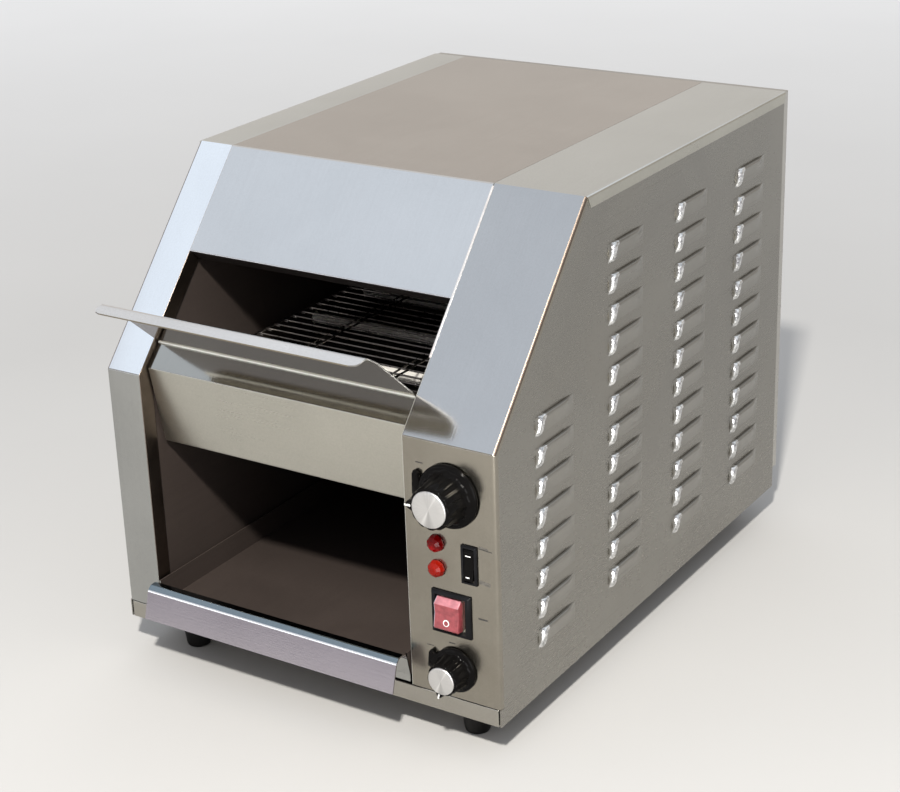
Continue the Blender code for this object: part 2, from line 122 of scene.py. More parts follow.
def fillet(pts, radii, seg=6):
    """Rounds the inner corners of an open path. radii: one number or one per corner."""
    n = len(pts)
    if not isinstance(radii, (list, tuple)):
        radii = [radii] * (n - 2)
    out = [pts[0]]
    for i in range(1, n - 1):
        r = radii[i - 1]
        a, b, c = Vector(pts[i - 1]), Vector(pts[i]), Vector(pts[i + 1])
        d0, d1 = (a - b).normalized(), (c - b).normalized()
        half = d0.angle(d1) / 2
        run = min(r / math.tan(half), (a - b).length * 0.499, (c - b).length * 0.499)
        r = run * math.tan(half)
        mid = (d0 + d1).normalized()
        o = b + mid * (r / math.sin(half))
        p0, p1 = b + d0 * run - o, b + d1 * run - o
        ang = p0.angle_signed(p1)
        for k in range(seg + 1):
            w = -ang * k / seg
            q = Vector((p0.x * math.cos(w) - p0.y * math.sin(w),
                        p0.x * math.sin(w) + p0.y * math.cos(w)))
            out.append(tuple(o + q))
    out.append(pts[-1])
    return out


def strip(path, t):
    """Open path to a closed outline, thickness t to the right of travel."""
    n = len(path)
    off = []
    for i in range(n):
        dirs = []
        if i > 0:
            dirs.append((path[i][0] - path[i - 1][0], path[i][1] - path[i - 1][1]))
        if i < n - 1:
            dirs.append((path[i + 1][0] - path[i][0], path[i + 1][1] - path[i][1]))
        ns = [(d[1] / math.hypot(*d), -d[0] / math.hypot(*d)) for d in dirs]
        sx, sy = sum(a[0] for a in ns), sum(a[1] for a in ns)
        k = math.hypot(sx, sy)
        mx, my = sx / k, sy / k
        s = t / (mx * ns[0][0] + my * ns[0][1])
        off.append((path[i][0] + mx * s, path[i][1] + my * s))
    return list(path) + off[::-1]


def prism_x(name, pts, x0, x1):
    """Outline of (y, z) points as a slab between two x planes."""
    n = len(pts)
    verts = [(x0, y, z) for y, z in pts] + [(x1, y, z) for y, z in pts]
    faces = [tuple(range(n))[::-1], tuple(range(n, 2 * n))]
    faces += [(i, (i + 1) % n, n + (i + 1) % n, n + i) for i in range(n)]
    return build(name, verts, faces)


def sheet_x(name, path, t, x0, x1, inset=None):
    """Sheet-metal piece: a (y, z) path with thickness, running along x.
    inset(k) moves both ends inwards at path point k, for rounded corners."""
    prof = strip(path, t)
    n, m = len(prof), len(path)
    verts = []
    for side in (0, 1):
        for i, (y, z) in enumerate(prof):
            k = i if i < m else 2 * m - 1 - i
            d = inset(k) if inset else 0.0
            verts.append((x0 + d if side == 0 else x1 - d, y, z))
    faces = []
    for i in range(n):
        j = (i + 1) % n
        faces.append((i, j, n + j, n + i))
    for k in range(m - 1):
        a, b, c, d = k, k + 1, n - 2 - k, n - 1 - k
        faces.append((a, b, c, d))
        faces.append((n + a, n + d, n + c, n + b))
    return build(name, verts, faces)


def lathe(name, axis, c, prof, n, angle=SMOOTH, radial=None, closed=False):
    """Turned piece about a line along y or z. prof: (position on it, radius)."""
    verts, rows = [], []
    for a, r in prof:
        row = []
        cnt = 1 if r < 1e-6 else n
        for i in range(cnt):
            w = 2 * math.pi * i / n
            rr = radial(a, r, w) if (radial and r > 1e-6) else r
            u, v = c[0] + rr * math.cos(w), c[1] + rr * math.sin(w)
            row.append(len(verts))
            verts.append((u, a, v) if axis == "y" else (u, v, a))
        rows.append(row)
    faces = []
    pairs = list(zip(rows[:-1], rows[1:])) + ([(rows[-1], rows[0])] if closed else [])
    for p, q in pairs:
        for i in range(n):
            j = (i + 1) % n
            if len(p) == 1:
                faces.append((p[0], q[j], q[i]))
            elif len(q) == 1:
                faces.append((p[i], p[j], q[0]))
            else:
                faces.append((p[i], p[j], q[j], q[i]))
    return build(name, verts, faces, angle)


BOX_FACES = ((0, 1, 3, 2), (4, 6, 7, 5), (0, 4, 5, 1), (2, 3, 7, 6), (0, 2, 6, 4), (1, 5, 7, 3))


def boxes(name, lims):
    bm = bmesh.new()
    for x0, x1, y0, y1, z0, z1 in lims:
        vs = [bm.verts.new(V(x, y, z)) for x in (x0, x1) for y in (y0, y1) for z in (z0, z1)]
        for q in BOX_FACES:
            bm.faces.new([vs[i] for i in q])
    bmesh.ops.recalc_face_normals(bm, faces=bm.faces[:])
    return from_bmesh(name, bm)


def drop(ob):
    me = ob.data
    bpy.data.objects.remove(ob, do_unlink=True)
    bpy.data.meshes.remove(me)


def bake(ob):
    """Applies the object's modifiers."""
    bpy.context.view_layer.update()
    dg = bpy.context.evaluated_depsgraph_get()
    me = bpy.data.meshes.new_from_object(ob.evaluated_get(dg))
    ob.modifiers.clear()
    old = ob.data
    ob.data = me
    bpy.data.meshes.remove(old)
    shade(ob)


def cut(ob, tool):
    md = ob.modifiers.new("cut", "BOOLEAN")
    md.operation = "DIFFERENCE"
    md.solver = "EXACT"
    md.object = tool
    bake(ob)
    drop(tool)


def merge(name, objs, angle=SMOOTH):
    bm = bmesh.new()
    for o in objs:
        bm.from_mesh(o.data)
    for o in objs:
        drop(o)
    return from_bmesh(name, bm, angle)


def soften(ob, width, seg=3, angle=30.0):
    """Rounds the sharp edges of a closed mesh."""
    md = ob.modifiers.new("edge", "BEVEL")
    md.width = width / 1000.0
    md.segments = seg
    md.limit_method = "ANGLE"
    md.angle_limit = math.radians(angle)
    md.harden_normals = True
    md.miter_outer = "MITER_ARC"


def from_cad(node, name, width, join_faces=True):
    """A CAD node's shape with its sharp edges rounded. A slotted face shades cleanly only
    with its faces left apart and its normals weighted by area."""
    me = NODES[node].data.copy()
    bm = bmesh.new()
    bm.from_mesh(me)
    bmesh.ops.remove_doubles(bm, verts=bm.verts[:], dist=2e-6)
    if join_faces:
        bmesh.ops.dissolve_limit(bm, angle_limit=math.radians(1.0), verts=bm.verts[:],
                                 edges=bm.edges[:])
    ob = from_bmesh(name, bm, me=me)
    me.materials.clear()
    soften(ob, width)
    if not join_faces:
        ob.modifiers["edge"].harden_normals = False
        flat = ob.modifiers.new("flat", "WEIGHTED_NORMAL")
        flat.weight = 100
        flat.keep_sharp = True
    return ob


# ---------- materials
COLOUR_A, COLOUR_B, COLOUR_OUT = 6, 7, 2     # the Mix node's sockets for colours


class Nodes:
    """Small node-tree builder."""

    def __init__(self, tree):
        self.t = tree

    def n(self, kind, **kw):
        nd = self.t.nodes.new(kind)
        for k, v in kw.items():
            setattr(nd, k, v)
        return nd

    def l(self, a, b):
        self.t.links.new(a, b)

    def put(self, v, socket):
        """Links an output to a socket, or sets a number or a colour on it."""
        if isinstance(v, tuple):
            socket.default_value = (*v, 1.0)
        elif isinstance(v, (int, float)):
            socket.default_value = v
        else:
            self.l(v, socket)

    def coords(self, scale=(1, 1, 1), loc=(0, 0, 0)):
        tc = self.n("ShaderNodeTexCoord")
        mp = self.n("ShaderNodeMapping")
        mp.inputs["Scale"].default_value = scale
        mp.inputs["Location"].default_value = loc
        self.l(tc.outputs["Object"], mp.inputs["Vector"])
        return mp.outputs["Vector"]

    def noise(self, vec, scale=1.0, detail=3.0, rough=0.5, distort=0.0):
        nd = self.n("ShaderNodeTexNoise")
        nd.inputs["Scale"].default_value = scale
        nd.inputs["Detail"].default_value = detail
        nd.inputs["Roughness"].default_value = rough
        nd.inputs["Distortion"].default_value = distort
        self.l(vec, nd.inputs["Vector"])
        return nd.outputs["Fac"]

    def ramp(self, fac, lo, hi, a=0.3, b=0.7, shape="LINEAR"):
        """fac from a to b becomes lo to hi."""
        nd = self.n("ShaderNodeMapRange", interpolation_type=shape)
        nd.inputs["From Min"].default_value = a
        nd.inputs["From Max"].default_value = b
        nd.inputs["To Min"].default_value = lo
        nd.inputs["To Max"].default_value = hi
        self.l(fac, nd.inputs["Value"])
        return nd.outputs["Result"]

    def math(self, op, a, b):
        nd = self.n("ShaderNodeMath", operation=op)
        self.put(a, nd.inputs[0])
        self.put(b, nd.inputs[1])
        return nd.outputs[0]

    def mix(self, fac, ca, cb, mode="MIX"):
        nd = self.n("ShaderNodeMix", data_type="RGBA", blend_type=mode)
        self.put(fac, nd.inputs["Factor"])
        self.put(ca, nd.inputs[COLOUR_A])
        self.put(cb, nd.inputs[COLOUR_B])
        return nd.outputs[COLOUR_OUT]

    def grey_times(self, tone, base):
        """A colour scaled by a number."""
        grey = self.n("ShaderNodeCombineColor")
        for s in ("Red", "Green", "Blue"):
            self.l(tone, grey.inputs[s])
        return self.mix(1.0, grey.outputs[0], base, "MULTIPLY")

    def bump(self, height, strength, dist=0.001, prev=None):
        nd = self.n("ShaderNodeBump")
        nd.inputs["Strength"].default_value = strength
        nd.inputs["Distance"].default_value = dist
        self.l(height, nd.inputs["Height"])
        if prev is not None:
            self.l(prev, nd.inputs["Normal"])
        return nd.outputs["Normal"]


class Mat(Nodes):
    """A material: its node tree and its Principled shader."""

    def __init__(self, name):
        self.m = bpy.data.materials.new(name)
        self.m.use_nodes = True
        super().__init__(self.m.node_tree)
        self.b = self.t.nodes["Principled BSDF"]

    def link(self, **sockets):
        """Fills the shader's sockets, such as Base_Color=..., and gives the material."""
        for name, v in sockets.items():
            self.put(v, self.b.inputs[name.replace("_", " ")])
        return self.m


def steel(name, base, rough, brush, grain, wear, dirt=0.0, dirt_col=(0.25, 0.22, 0.18),
          scratch=0.0, blotch=9.0, rough_var=0.03, metal=1.0, spec=0.5, speck_by=1.0,
          bump_by=1.0, painted_deep_shade=False):
    """Brushed stainless steel. brush: how fine the grain is along each axis; grain, wear:
    how much it and the cloudy patches change the tone; dirt, scratch: how far these cover it,
    the patches being grime on most rows and a painted highlight tint on the seam;
    soot: painted shade, darker further in."""
    k = Mat(name)
    fine = k.noise(k.coords(brush), 1.0, 3.0, 0.6)
    speck = k.noise(k.coords(), 620.0, 2.0, 0.6)
    cloud = k.noise(k.coords(), blotch, 5.0, 0.6, 0.4)
    tone = k.math("MULTIPLY", k.ramp(cloud, 1.0 - wear, 1.0 + wear),
                  k.ramp(fine, 1.0 - grain, 1.0 + grain))
    fleck = 0.04 * speck_by
    tone = k.math("MULTIPLY", tone, k.ramp(speck, 1 - fleck, 1 + fleck))
    col = k.grey_times(tone, base)
    r = k.math("ADD", k.ramp(cloud, rough - rough_var, rough + rough_var, 0.25, 0.75),
               k.ramp(fine, -0.02, 0.02))
    if scratch > 0:
        area = k.ramp(k.noise(k.coords(), 6.0, 3.0, 0.5), 0.0, 1.0, 0.44, 0.60)
        for turn, shift in ((-34, 0.0), (-47, 5.0)):
            rot = k.n("ShaderNodeMapping")
            rot.inputs["Rotation"].default_value = (math.radians(turn), 0, 0)
            rot.inputs["Scale"].default_value = (14, 9, 620)
            rot.inputs["Location"].default_value = (shift, shift, 0)
            k.l(k.coords(), rot.inputs["Vector"])
            sc = k.noise(rot.outputs["Vector"], 1.0, 2.0, 0.5, 0.4)
            line = k.math("MULTIPLY", k.ramp(sc, 0.0, 1.0, 0.66, 0.72), area)
            col = k.mix(k.math("MULTIPLY", line, scratch), col, tuple(0.5 * c for c in base))
            r = k.math("ADD", r, k.math("MULTIPLY", line, 0.10))
    if dirt > 0:
        d = k.noise(k.coords(loc=(3.1, 1.7, 0.4)), 7.0, 6.0, 0.62, 0.5)
        m = k.ramp(d, 0.0, dirt, 0.50, 0.75)
        col = k.mix(m, col, dirt_col)
        r = k.math("ADD", r, k.math("MULTIPLY", m, 0.25))
    # painted shade: darker towards the back of the oven, with cloudy edges
    if painted_deep_shade:
        at = k.n("ShaderNodeSeparateXYZ")
        k.l(k.coords(), at.inputs[0])
        deep = k.math("ADD", k.ramp(at.outputs["Y"], 0.0, 1.0, -0.16, 0.06),
                      k.ramp(cloud, -0.12, 0.12))
        col = k.mix(k.math("MULTIPLY", deep, 0.86), col, tuple(0.12 * c for c in base))
    brushed = k.bump(fine, min(1.0, 0.05 * bump_by), 0.0004)
    return k.link(Base_Color=col, Roughness=r, Metallic=metal, Specular_IOR_Level=spec,
                  Normal=k.bump(speck, 0.05 * speck_by, 0.0003, brushed))


def plain(name, base, rough, metal=0.0, var=0.12, scale=60.0, bump=0.08, bump_scale=900.0,
          spec=0.5):
    """Moulded, painted or turned surface with fine colour and roughness variation."""
    k = Mat(name)
    v = k.coords()
    a = k.noise(v, scale, 4.0, 0.6)
    lo = tuple(c * (1 - var) for c in base)
    hi = tuple(min(1.0, c * (1 + var)) for c in base)
    if bump > 0:
        k.link(Normal=k.bump(k.noise(v, bump_scale, 2.0, 0.5), bump, 0.0003))
    return k.link(Base_Color=k.mix(k.ramp(a, 0.0, 1.0), lo, hi), Metallic=metal,
                  Roughness=k.ramp(a, max(0.02, rough - 0.06), rough + 0.06),
                  Specular_IOR_Level=spec)


# how fine the brushing is along x, y and z
LINES_X, LINES_Y, LINES_Z = (8, 700, 700), (700, 8, 700), (700, 700, 8)
ROOF, INSIDE_GRAIN, EVEN = (700, 7, 700), (260, 8, 260), (60, 60, 60)
SLANTED = (700, 6, 6), 0.012, 0.035, {"speck_by": 0.4}      # the last four of a row
# Most stainless rows are copies of one steel, each toned to how bright its faces look, so their
# colours hold painted light and shade; the rows below say where.
# key: material, colour, roughness, brush, grain, wear, the rest
STEELS = {
    "slant": ("steel_slanted", (0.62, 0.635, 0.65), 0.115, *SLANTED),
    # The columns' slants: a darker copy on the right, painted shade, and a lighter bluish copy on
    # the left, a painted sky reflection.
    "slant_right": ("steel_slanted_right_painted_shade", (0.475, 0.485, 0.495), 0.115, *SLANTED),
    "slant_left": ("steel_slanted_left_painted_sky", (0.83, 0.87, 0.91), 0.115, *SLANTED),
    # The front panel's slanted facet under the shelf: a darker copy, painted shade.
    "slant_shaded_low": ("steel_slanted_low_painted_shade", (0.385, 0.39, 0.375), 0.10, *SLANTED),
    # The right column's face: a darker copy, painted shade, with real smudges on it.
    "front": ("steel_front", (0.295, 0.273, 0.230), 0.19, LINES_Z, 0.02, 0.07,
              {"dirt": 0.42, "dirt_col": (0.185, 0.162, 0.128)}),
    "front_left": ("steel_front_left", (0.367, 0.370, 0.355), 0.20, LINES_Z, 0.02, 0.06,
                   {"dirt": 0.10, "dirt_col": (0.33, 0.31, 0.26)}),
    "panel": ("steel_panel", (0.475, 0.460, 0.404), 0.30, LINES_X, 0.012, 0.05,
              {"dirt": 0.08, "dirt_col": (0.36, 0.33, 0.27)}),
    # A dark copy on the shelf's end faces, hiding their glint: painted shade.
    "cut": ("steel_end_painted_shade", (0.20, 0.19, 0.175), 0.50, EVEN, 0.03, 0.08, {}),
    "top": ("steel_top", (0.605, 0.57, 0.53), 0.155, ROOF, 0.015, 0.04, {}),
    # The bands' roof strips: a lighter copy, painted light.
    "band_top": ("steel_band_top_painted_light", (0.735, 0.755, 0.735), 0.15, ROOF, 0.015, 0.03, {}),
    # Side panels and louvers: darker copies, painted shade; their scratches and dirt are wear.
    "side": ("steel_side", (0.275, 0.264, 0.238), 0.27, (620, 120, 620), 0.012, 0.06,
             {"bump_by": 0.3, "scratch": 0.25, "dirt": 0.12, "dirt_col": (0.30, 0.26, 0.21)}),
    "louver": ("steel_louver", (0.285, 0.274, 0.248), 0.30, LINES_Y, 0.02, 0.06,
               {"bump_by": 0.3, "scratch": 0.6}),
    # The louvers' noses: a much lighter copy, a painted glint.
    "louver_cap_glint": ("steel_louver_cap_painted_glint", (0.62, 0.62, 0.61), 0.18, (420, 420, 420), 0.15, 0.55,
                   {"blotch": 330, "rough_var": 0.09, "bump_by": 9.0}),
    "base": ("steel_base", (0.375, 0.358, 0.318), 0.22, LINES_X, 0.02, 0.05, {"dirt": 0.15}),
    "tray": ("steel_tray", (0.405, 0.375, 0.405), 0.17, LINES_X, 0.015, 0.05, {}),
    # The tray lip's rolled top: a painted dark blue-grey reflection, then a painted near-white
    # highlight along its bend.
    "lip_top_reflection": ("steel_lip_top_painted_reflection", (0.215, 0.26, 0.29), 0.14, LINES_X, 0.015, 0.05, {}),
    "lip_highlight": ("steel_lip_painted_highlight", (0.93, 0.94, 0.95), 0.12, LINES_X, 0.01, 0.02, {}),
    # A dark copy on the bands' outer bend along the slant, dimming its glint: painted shade.
    "edge": ("steel_bend_painted_shade", (0.150, 0.118, 0.095), 0.40, EVEN, 0.03, 0.08, {}),
    # The seam strip: near white with orange patches, a painted highlight line.
    "seam": ("steel_seam_painted_highlight", (0.94, 0.90, 0.86), 0.30, EVEN, 0.02, 0.10,
             {"blotch": 22.0, "dirt": 0.5, "dirt_col": (0.80, 0.58, 0.42)}),
    # Near black and not metal, for the cover's faces turned down or sideways: painted shade.
    "painted_deep_shade": ("steel_near_black_painted_shade", (0.014, 0.011, 0.010), 0.55, EVEN, 0.05, 0.20,
             {"metal": 0.0, "spec": 0.08}),
    "slide": ("steel_slide", (0.76, 0.745, 0.73), 0.22, LINES_X, 0.015, 0.05, {}),
    # The shelf's underside: a dark brown copy, painted shade.
    "slide_under_shaded": ("steel_slide_under_painted_shade", (0.280, 0.245, 0.186), 0.11, LINES_X, 0.015, 0.06, {}),
    # A near-white copy for bend lines and the shelf's hem: a painted highlight.
    "fold_highlight": ("steel_fold_painted_highlight", (0.84, 0.84, 0.78), 0.45, LINES_X, 0.01, 0.03, {}),
    # A dark copy for faces turned into the oven or downwards: painted shade.
    "flange": ("steel_flange_painted_shade", (0.15, 0.12, 0.098), 0.32, INSIDE_GRAIN, 0.03, 0.12,
               {"dirt": 0.4, "dirt_col": (0.06, 0.045, 0.035)}),
    # The chamber's own dark steel, with painted shade deeper in.
    "inner": ("steel_chamber", (0.050, 0.039, 0.034), 0.45, INSIDE_GRAIN, 0.05, 0.12,
              {"dirt": 0.30, "dirt_col": (0.028, 0.021, 0.018), "metal": 0.08, "spec": 0.12,
               "painted_deep_shade": True}),
    "reflector": ("bright_reflector", (0.040, 0.033, 0.028), 0.45, (9, 260, 260), 0.04, 0.12,
                  {"dirt": 0.5, "dirt_col": (0.06, 0.045, 0.035), "metal": 0.5}),
    "rear": ("steel_rear", (0.50, 0.485, 0.45), 0.28, LINES_X, 0.03, 0.05,
             {"scratch": 0.25, "dirt": 0.12}),
}
# key: material, colour, roughness, metal, variation, its scale, bump, bump scale, specular
PLAINS = {
    "wire": ("belt_wire", (0.13, 0.118, 0.108), 0.30, 1.0, 0.35, 140, 0.05),
    "shaft": ("turned_steel", (0.42, 0.41, 0.40), 0.30, 1.0, 0.12, 200, 0.05),
    "bronze": ("bearing_bronze", (0.55, 0.42, 0.22), 0.38, 1.0, 0.15, 120),
    "motor": ("motor_paint", (0.05, 0.055, 0.06), 0.45, 0.0, 0.15, 40, 0.15),
    "black": ("black_plastic", (0.0075, 0.0075, 0.0085), 0.22, 0.0, 0.2, 60, 0.04, 1400, 0.09),
    "knob": ("knob_plastic", (0.0036, 0.0033, 0.0032), 0.075, 0.0, 0.2, 60, 0.006, 900, 0.05),
    "rubber": ("foot_rubber", (0.0065, 0.0062, 0.006), 0.50, 0.0, 0.25, 80, 0.20, 700, 0.15),
    "ceramic": ("ceramic", (0.66, 0.62, 0.55), 0.55, 0.0, 0.12, 90, 0.12),
    "white": ("white_mark", (0.82, 0.82, 0.80), 0.40, 0.0, 0.05, 200, 0.0),
    "ink": ("tick_ink", (0.035, 0.033, 0.030), 0.60, 0.0, 0.30, 300, 0.0),
    "smear": ("tick_smear", (0.105, 0.098, 0.085), 0.45, 0.0, 0.45, 420, 0.0),
    "clear": ("clear_skirt", (0.36, 0.30, 0.35), 0.20, 0.0, 0.1, 200, 0.02),
}
M = {key: steel(*row[:-1], **row[-1]) for key, row in STEELS.items()}
M.update({key: plain(*row) for key, row in PLAINS.items()})


def quartz():
    k = Mat("quartz_tube")
    a = k.noise(k.coords((20, 60, 60)), 1.0, 3.0, 0.5)
    return k.link(Base_Color=k.mix(k.ramp(a, 0, 1), (0.70, 0.66, 0.60), (0.86, 0.84, 0.80)),
                  Roughness=k.ramp(a, 0.18, 0.36), Transmission_Weight=0.35, IOR=1.46)


def spun_cap(name, c):
    """Aluminium disc with fine turned rings; bright rays and dark wedges painted into its colour,
    a painted sheen, turn with the knob.
    """
    k = Mat(name)
    mp = k.coords(loc=tuple(-x for x in V(*c)))
    sep = k.n("ShaderNodeSeparateXYZ")
    k.l(mp, sep.inputs[0])
    ang = k.math("ARCTAN2", sep.outputs["Z"], sep.outputs["X"])
    flat = k.n("ShaderNodeCombineXYZ")
    k.l(sep.outputs["X"], flat.inputs["X"])
    k.l(sep.outputs["Z"], flat.inputs["Z"])
    rad = k.n("ShaderNodeVectorMath", operation="LENGTH")
    k.l(flat.outputs[0], rad.inputs[0])
    fine = k.n("ShaderNodeTexNoise", noise_dimensions="1D")
    fine.inputs["Scale"].default_value = 9.0
    fine.inputs["Detail"].default_value = 5.0
    k.l(ang, fine.inputs["W"])

    def sector(at, sharp):
        """1 towards the angle, in degrees, falling off the faster the sharper."""
        near = k.math("COSINE", k.math("SUBTRACT", ang, math.radians(at)), 0.0)
        return k.math("POWER", k.math("MAXIMUM", near, 0.0), sharp)

    # painted highlight rays and painted dark wedges, at fixed angles on the knob
    light = k.math("ADD", sector(246.0, 120.0), k.math("MULTIPLY", sector(60.0, 160.0), 0.8))
    dark = k.math("ADD", sector(272.0, 26.0), k.math("MULTIPLY", sector(96.0, 10.0), 0.3))
    base = k.ramp(fine.outputs["Fac"], 0.62, 0.67)
    tone = k.math("ADD", k.math("SUBTRACT", base, k.math("MULTIPLY", dark, 0.16)),
                  k.math("MULTIPLY", light, 0.14))
    rings = k.math("MULTIPLY", rad.outputs["Value"], 2 * math.pi / 0.00045)
    return k.link(Base_Color=k.grey_times(tone, (1.0, 0.985, 0.965)), Metallic=1.0,
                  Roughness=k.ramp(fine.outputs["Fac"], 0.30, 0.40),
                  Normal=k.bump(k.math("SINE", rings, 0.0), 0.10, 0.0001))


def red_lens(name, base, rough, coat, spec):
    """Red plastic, a little translucent and lumpy."""
    k = Mat(name)
    a = k.noise(k.coords(), 260.0, 3.0, 0.6)
    return k.link(Base_Color=k.mix(k.ramp(a, 0, 1), tuple(c * 0.62 for c in base), base),
                  Roughness=k.ramp(a, rough, rough + 0.1), Transmission_Weight=0.1,
                  Coat_Weight=coat, Specular_IOR_Level=spec,
                  Normal=k.bump(k.noise(k.coords(), 420.0, 2.0), 0.08, 0.0004))


def give(ob, mat):
    ob.data.materials.clear()
    ob.data.materials.append(M[mat] if isinstance(mat, str) else mat)


def place(ob, body, mat, slot, *nodes):
    give(ob, mat)
    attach(ob, body)
    if nodes:
        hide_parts(*nodes)


def sheet(ob, mat, *nodes):
    """A piece of the cabinet's sheet metal."""
    place(ob, "cabinet", mat, "stainless", *nodes)


def paint(ob, looks, pick):
    """More materials for a piece. pick(x, y, z, n, i) gives a face's material number, from
    its centre in millimetres, its normal and its place in the mesh."""
    for look in looks:
        ob.data.materials.append(M[look])
    for i, p in enumerate(ob.data.polygons):
        x, y, z = p.center
        p.material_index = pick(x * 1000, y * 1000 - OY, z * 1000 - OZ, p.normal, i)


# ---------- cabinet outline
def outline(d, z0, y1):
    """The cabinet's side view from its front foot to its roof, d inside the outer face."""
    return [(FRONT + d, z0), (FRONT + d, Z1 - 0.380 * d), (YT + 0.45 * d, H - d), (y1, H - d)]


def arc(cx, cy, r, a0, a1, n=6):
    return [(cx + r * math.cos(math.radians(a0 + (a1 - a0) * i / n)),
             cy + r * math.sin(math.radians(a0 + (a1 - a0) * i / n))) for i in range(n + 1)]


def sweep(name, section, path_at):
    """section: closed ring of (x, depth). path_at(depth) gives the (y, z) points."""
    rows, verts = [], []
    for x, d in section:
        row = []
        for y, z in path_at(d):
            row.append(len(verts))
            verts.append((x, y, z))
        rows.append(row)
    n, m = len(rows), len(rows[0])
    faces = []
    for i in range(n):
        j = (i + 1) % n
        for k in range(m - 1):
            faces.append((rows[i][k], rows[j][k], rows[j][k + 1], rows[i][k + 1]))
    half = n // 2
    for k in (0, m - 1):
        for i in range(half - 1):
            a, b, c, d = i, i + 1, n - 2 - i, n - 1 - i
            q = (rows[a][k], rows[b][k], rows[c][k], rows[d][k])
            faces.append(q if k == 0 else q[::-1])
    return build(name, verts, faces)


def band_section(sg, x_in, x_out, r_in, r_out, lip_in, lip_out):
    """Sheet with an inner return flange and an outer flange, bends rounded."""
    w = abs(x_out - x_in)

    def ring(e):
        return [(e, lip_in)] + arc(r_in, r_in, r_in - e, 180, 270) \
            + arc(w - r_out, r_out, r_out - e, 270, 360) + [(w - e, lip_out)]

    pts = ring(0.0) + ring(T)[::-1]
    return [(x_in + sg * p, d) for p, d in pts]


BAND_FOOT = 15.7


def front_path(d):
    return fillet(outline(d, BAND_FOOT, REAR)[:3], max(2.2 - d, 0.12), 5)


def top_path(d):
    c, (y, z) = outline(d, BAND_FOOT, REAR)[2:]
    return [c, (y - 0.35 * d, z)]


NEAR_BEND = 3.0          # a face this close to a band's edge belongs to its bend
for sg, x_in, tag in ((1, XR, "right"), (-1, XL, "left")):
    node = tag + "_column_band"
    x_out = sg * SIDE_X

    # A band's faces: 0 its front; 1 its slant; 2 the return flange, underside and back in a dark
    # copy, painted shade; 3 the inner bend, near white on the right (painted highlight) and dark
    # on the left over its glint (painted shade); 4 the outer bend along the slant in a dark copy
    # that dims its glint, painted shade.
    def column_look(x, _, z, n, __):
        on_slant = z > Z1 + 1.2 and n.z > 0.2
        from_in, from_out = abs(x - x_in), abs(x - x_out)
        if from_in < T + 0.1 and abs(n.x) > 0.95 or n.z < -0.5 or n.y > 0.5:
            return 2
        if from_in < NEAR_BEND and abs(n.x) > 0.15:
            return 3
        if from_out < NEAR_BEND and 0.2 < abs(n.x) < 0.95 and on_slant:
            return 4
        return int(on_slant)

    r_in = 1.5 if sg > 0 else 0.6
    col = sweep(tag + "_column_front", band_section(sg, x_in, x_out, r_in, 2.7, 14.0, 5.0),
                front_path)
    sheet(col, "front" if sg > 0 else "front_left", node)
    paint(col, ("slant_" + tag, "flange", "fold_highlight" if sg > 0 else "flange", "edge"), column_look)
    top = sweep(tag + "_top_strip", band_section(sg, x_in, sg * 184.9, 0.6, 2.4, 9.0, 9.8),
                top_path)
    sheet(top, "band_top", node)
    # the strip's outward flange takes the darker panel copy: painted shade
    paint(top, ["panel"], lambda x, y, z, n, i: int(sg * n.x > 0.75))

# ---------- centre top cover
MOUTH_TOP = 309.0                # where the feed mouth ends the upper slant
UP_Y, UP_Z = 0.664, 0.748        # the slant's direction
lo = (FRONT + UP_Y * (MOUTH_TOP - Z1) / UP_Z, MOUTH_TOP)
lip = (lo[0] + UP_Z * 12, lo[1] - UP_Y * 12)
path = fillet([lip, lo, (YT, H), (REAR, H)], [1.6, 2.2], 5)
cover = sheet_x("top_cover_sheet", path, T, XL - 0.25, XR + 0.25)
sheet(cover, "top", "top_cover")
# the cover's faces turned down or sideways get the near-black copy: painted shade
paint(cover, ("slant", "painted_deep_shade"),
      lambda x, y, z, n, i: 2 if n.z < 0.15 else int(y < YT - 1.0))

# the right band's bent edge stands a hair above the cover and catches the light;
# its near-white colour with orange patches is a painted highlight line
SLANT = math.hypot(YT - FRONT, H - Z1)
edge_path = []
for f, lift in ((0.30, 0.0), (0.305, 0.32), (0.985, 0.32), (0.99, 0.0)):
    edge_path.append((FRONT + (YT - FRONT) * f - (H - Z1) / SLANT * lift,
                      Z1 + (H - Z1) * f + (YT - FRONT) / SLANT * lift))
seam = prism_x("seam_edge", edge_path, XR - 0.35, XR + 1.35)
soften(seam, 0.12, 2)
sheet(seam, "seam")

# ---------- front panel, slide
path = fillet([(-213.0, 161.0), (-226.5, 161.0), (-239.7, 229.3), (-223.4, 246.9)],
              [1.6, 1.2], 5)
pan = sheet_x("front_centre_sheet", path, T, -147.5, 101.4)
sheet(pan, "panel", "front_centre_panel")
# its slanted facet under the shelf takes the darker copy: painted shade
paint(pan, ["slant_shaded_low"], lambda x, y, z, n, i: int(z > 229.6))

path = fillet([(-298.0, 296.2), (-285.0, 298.6), (-272.5, 291.0), (-224.0, 248.3),
               (-187.0, 226.0)], [6.0, 9.0, 3.0], 8)


def slide_corner(k, r=7.0):
    """How far the sheet's ends draw in at point k of its path, for the lip's round corners."""
    s = math.hypot(path[k][0] - path[0][0], path[k][1] - path[0][1])
    return r - math.sqrt(max(0.0, r * r - max(0.0, r - s) ** 2))


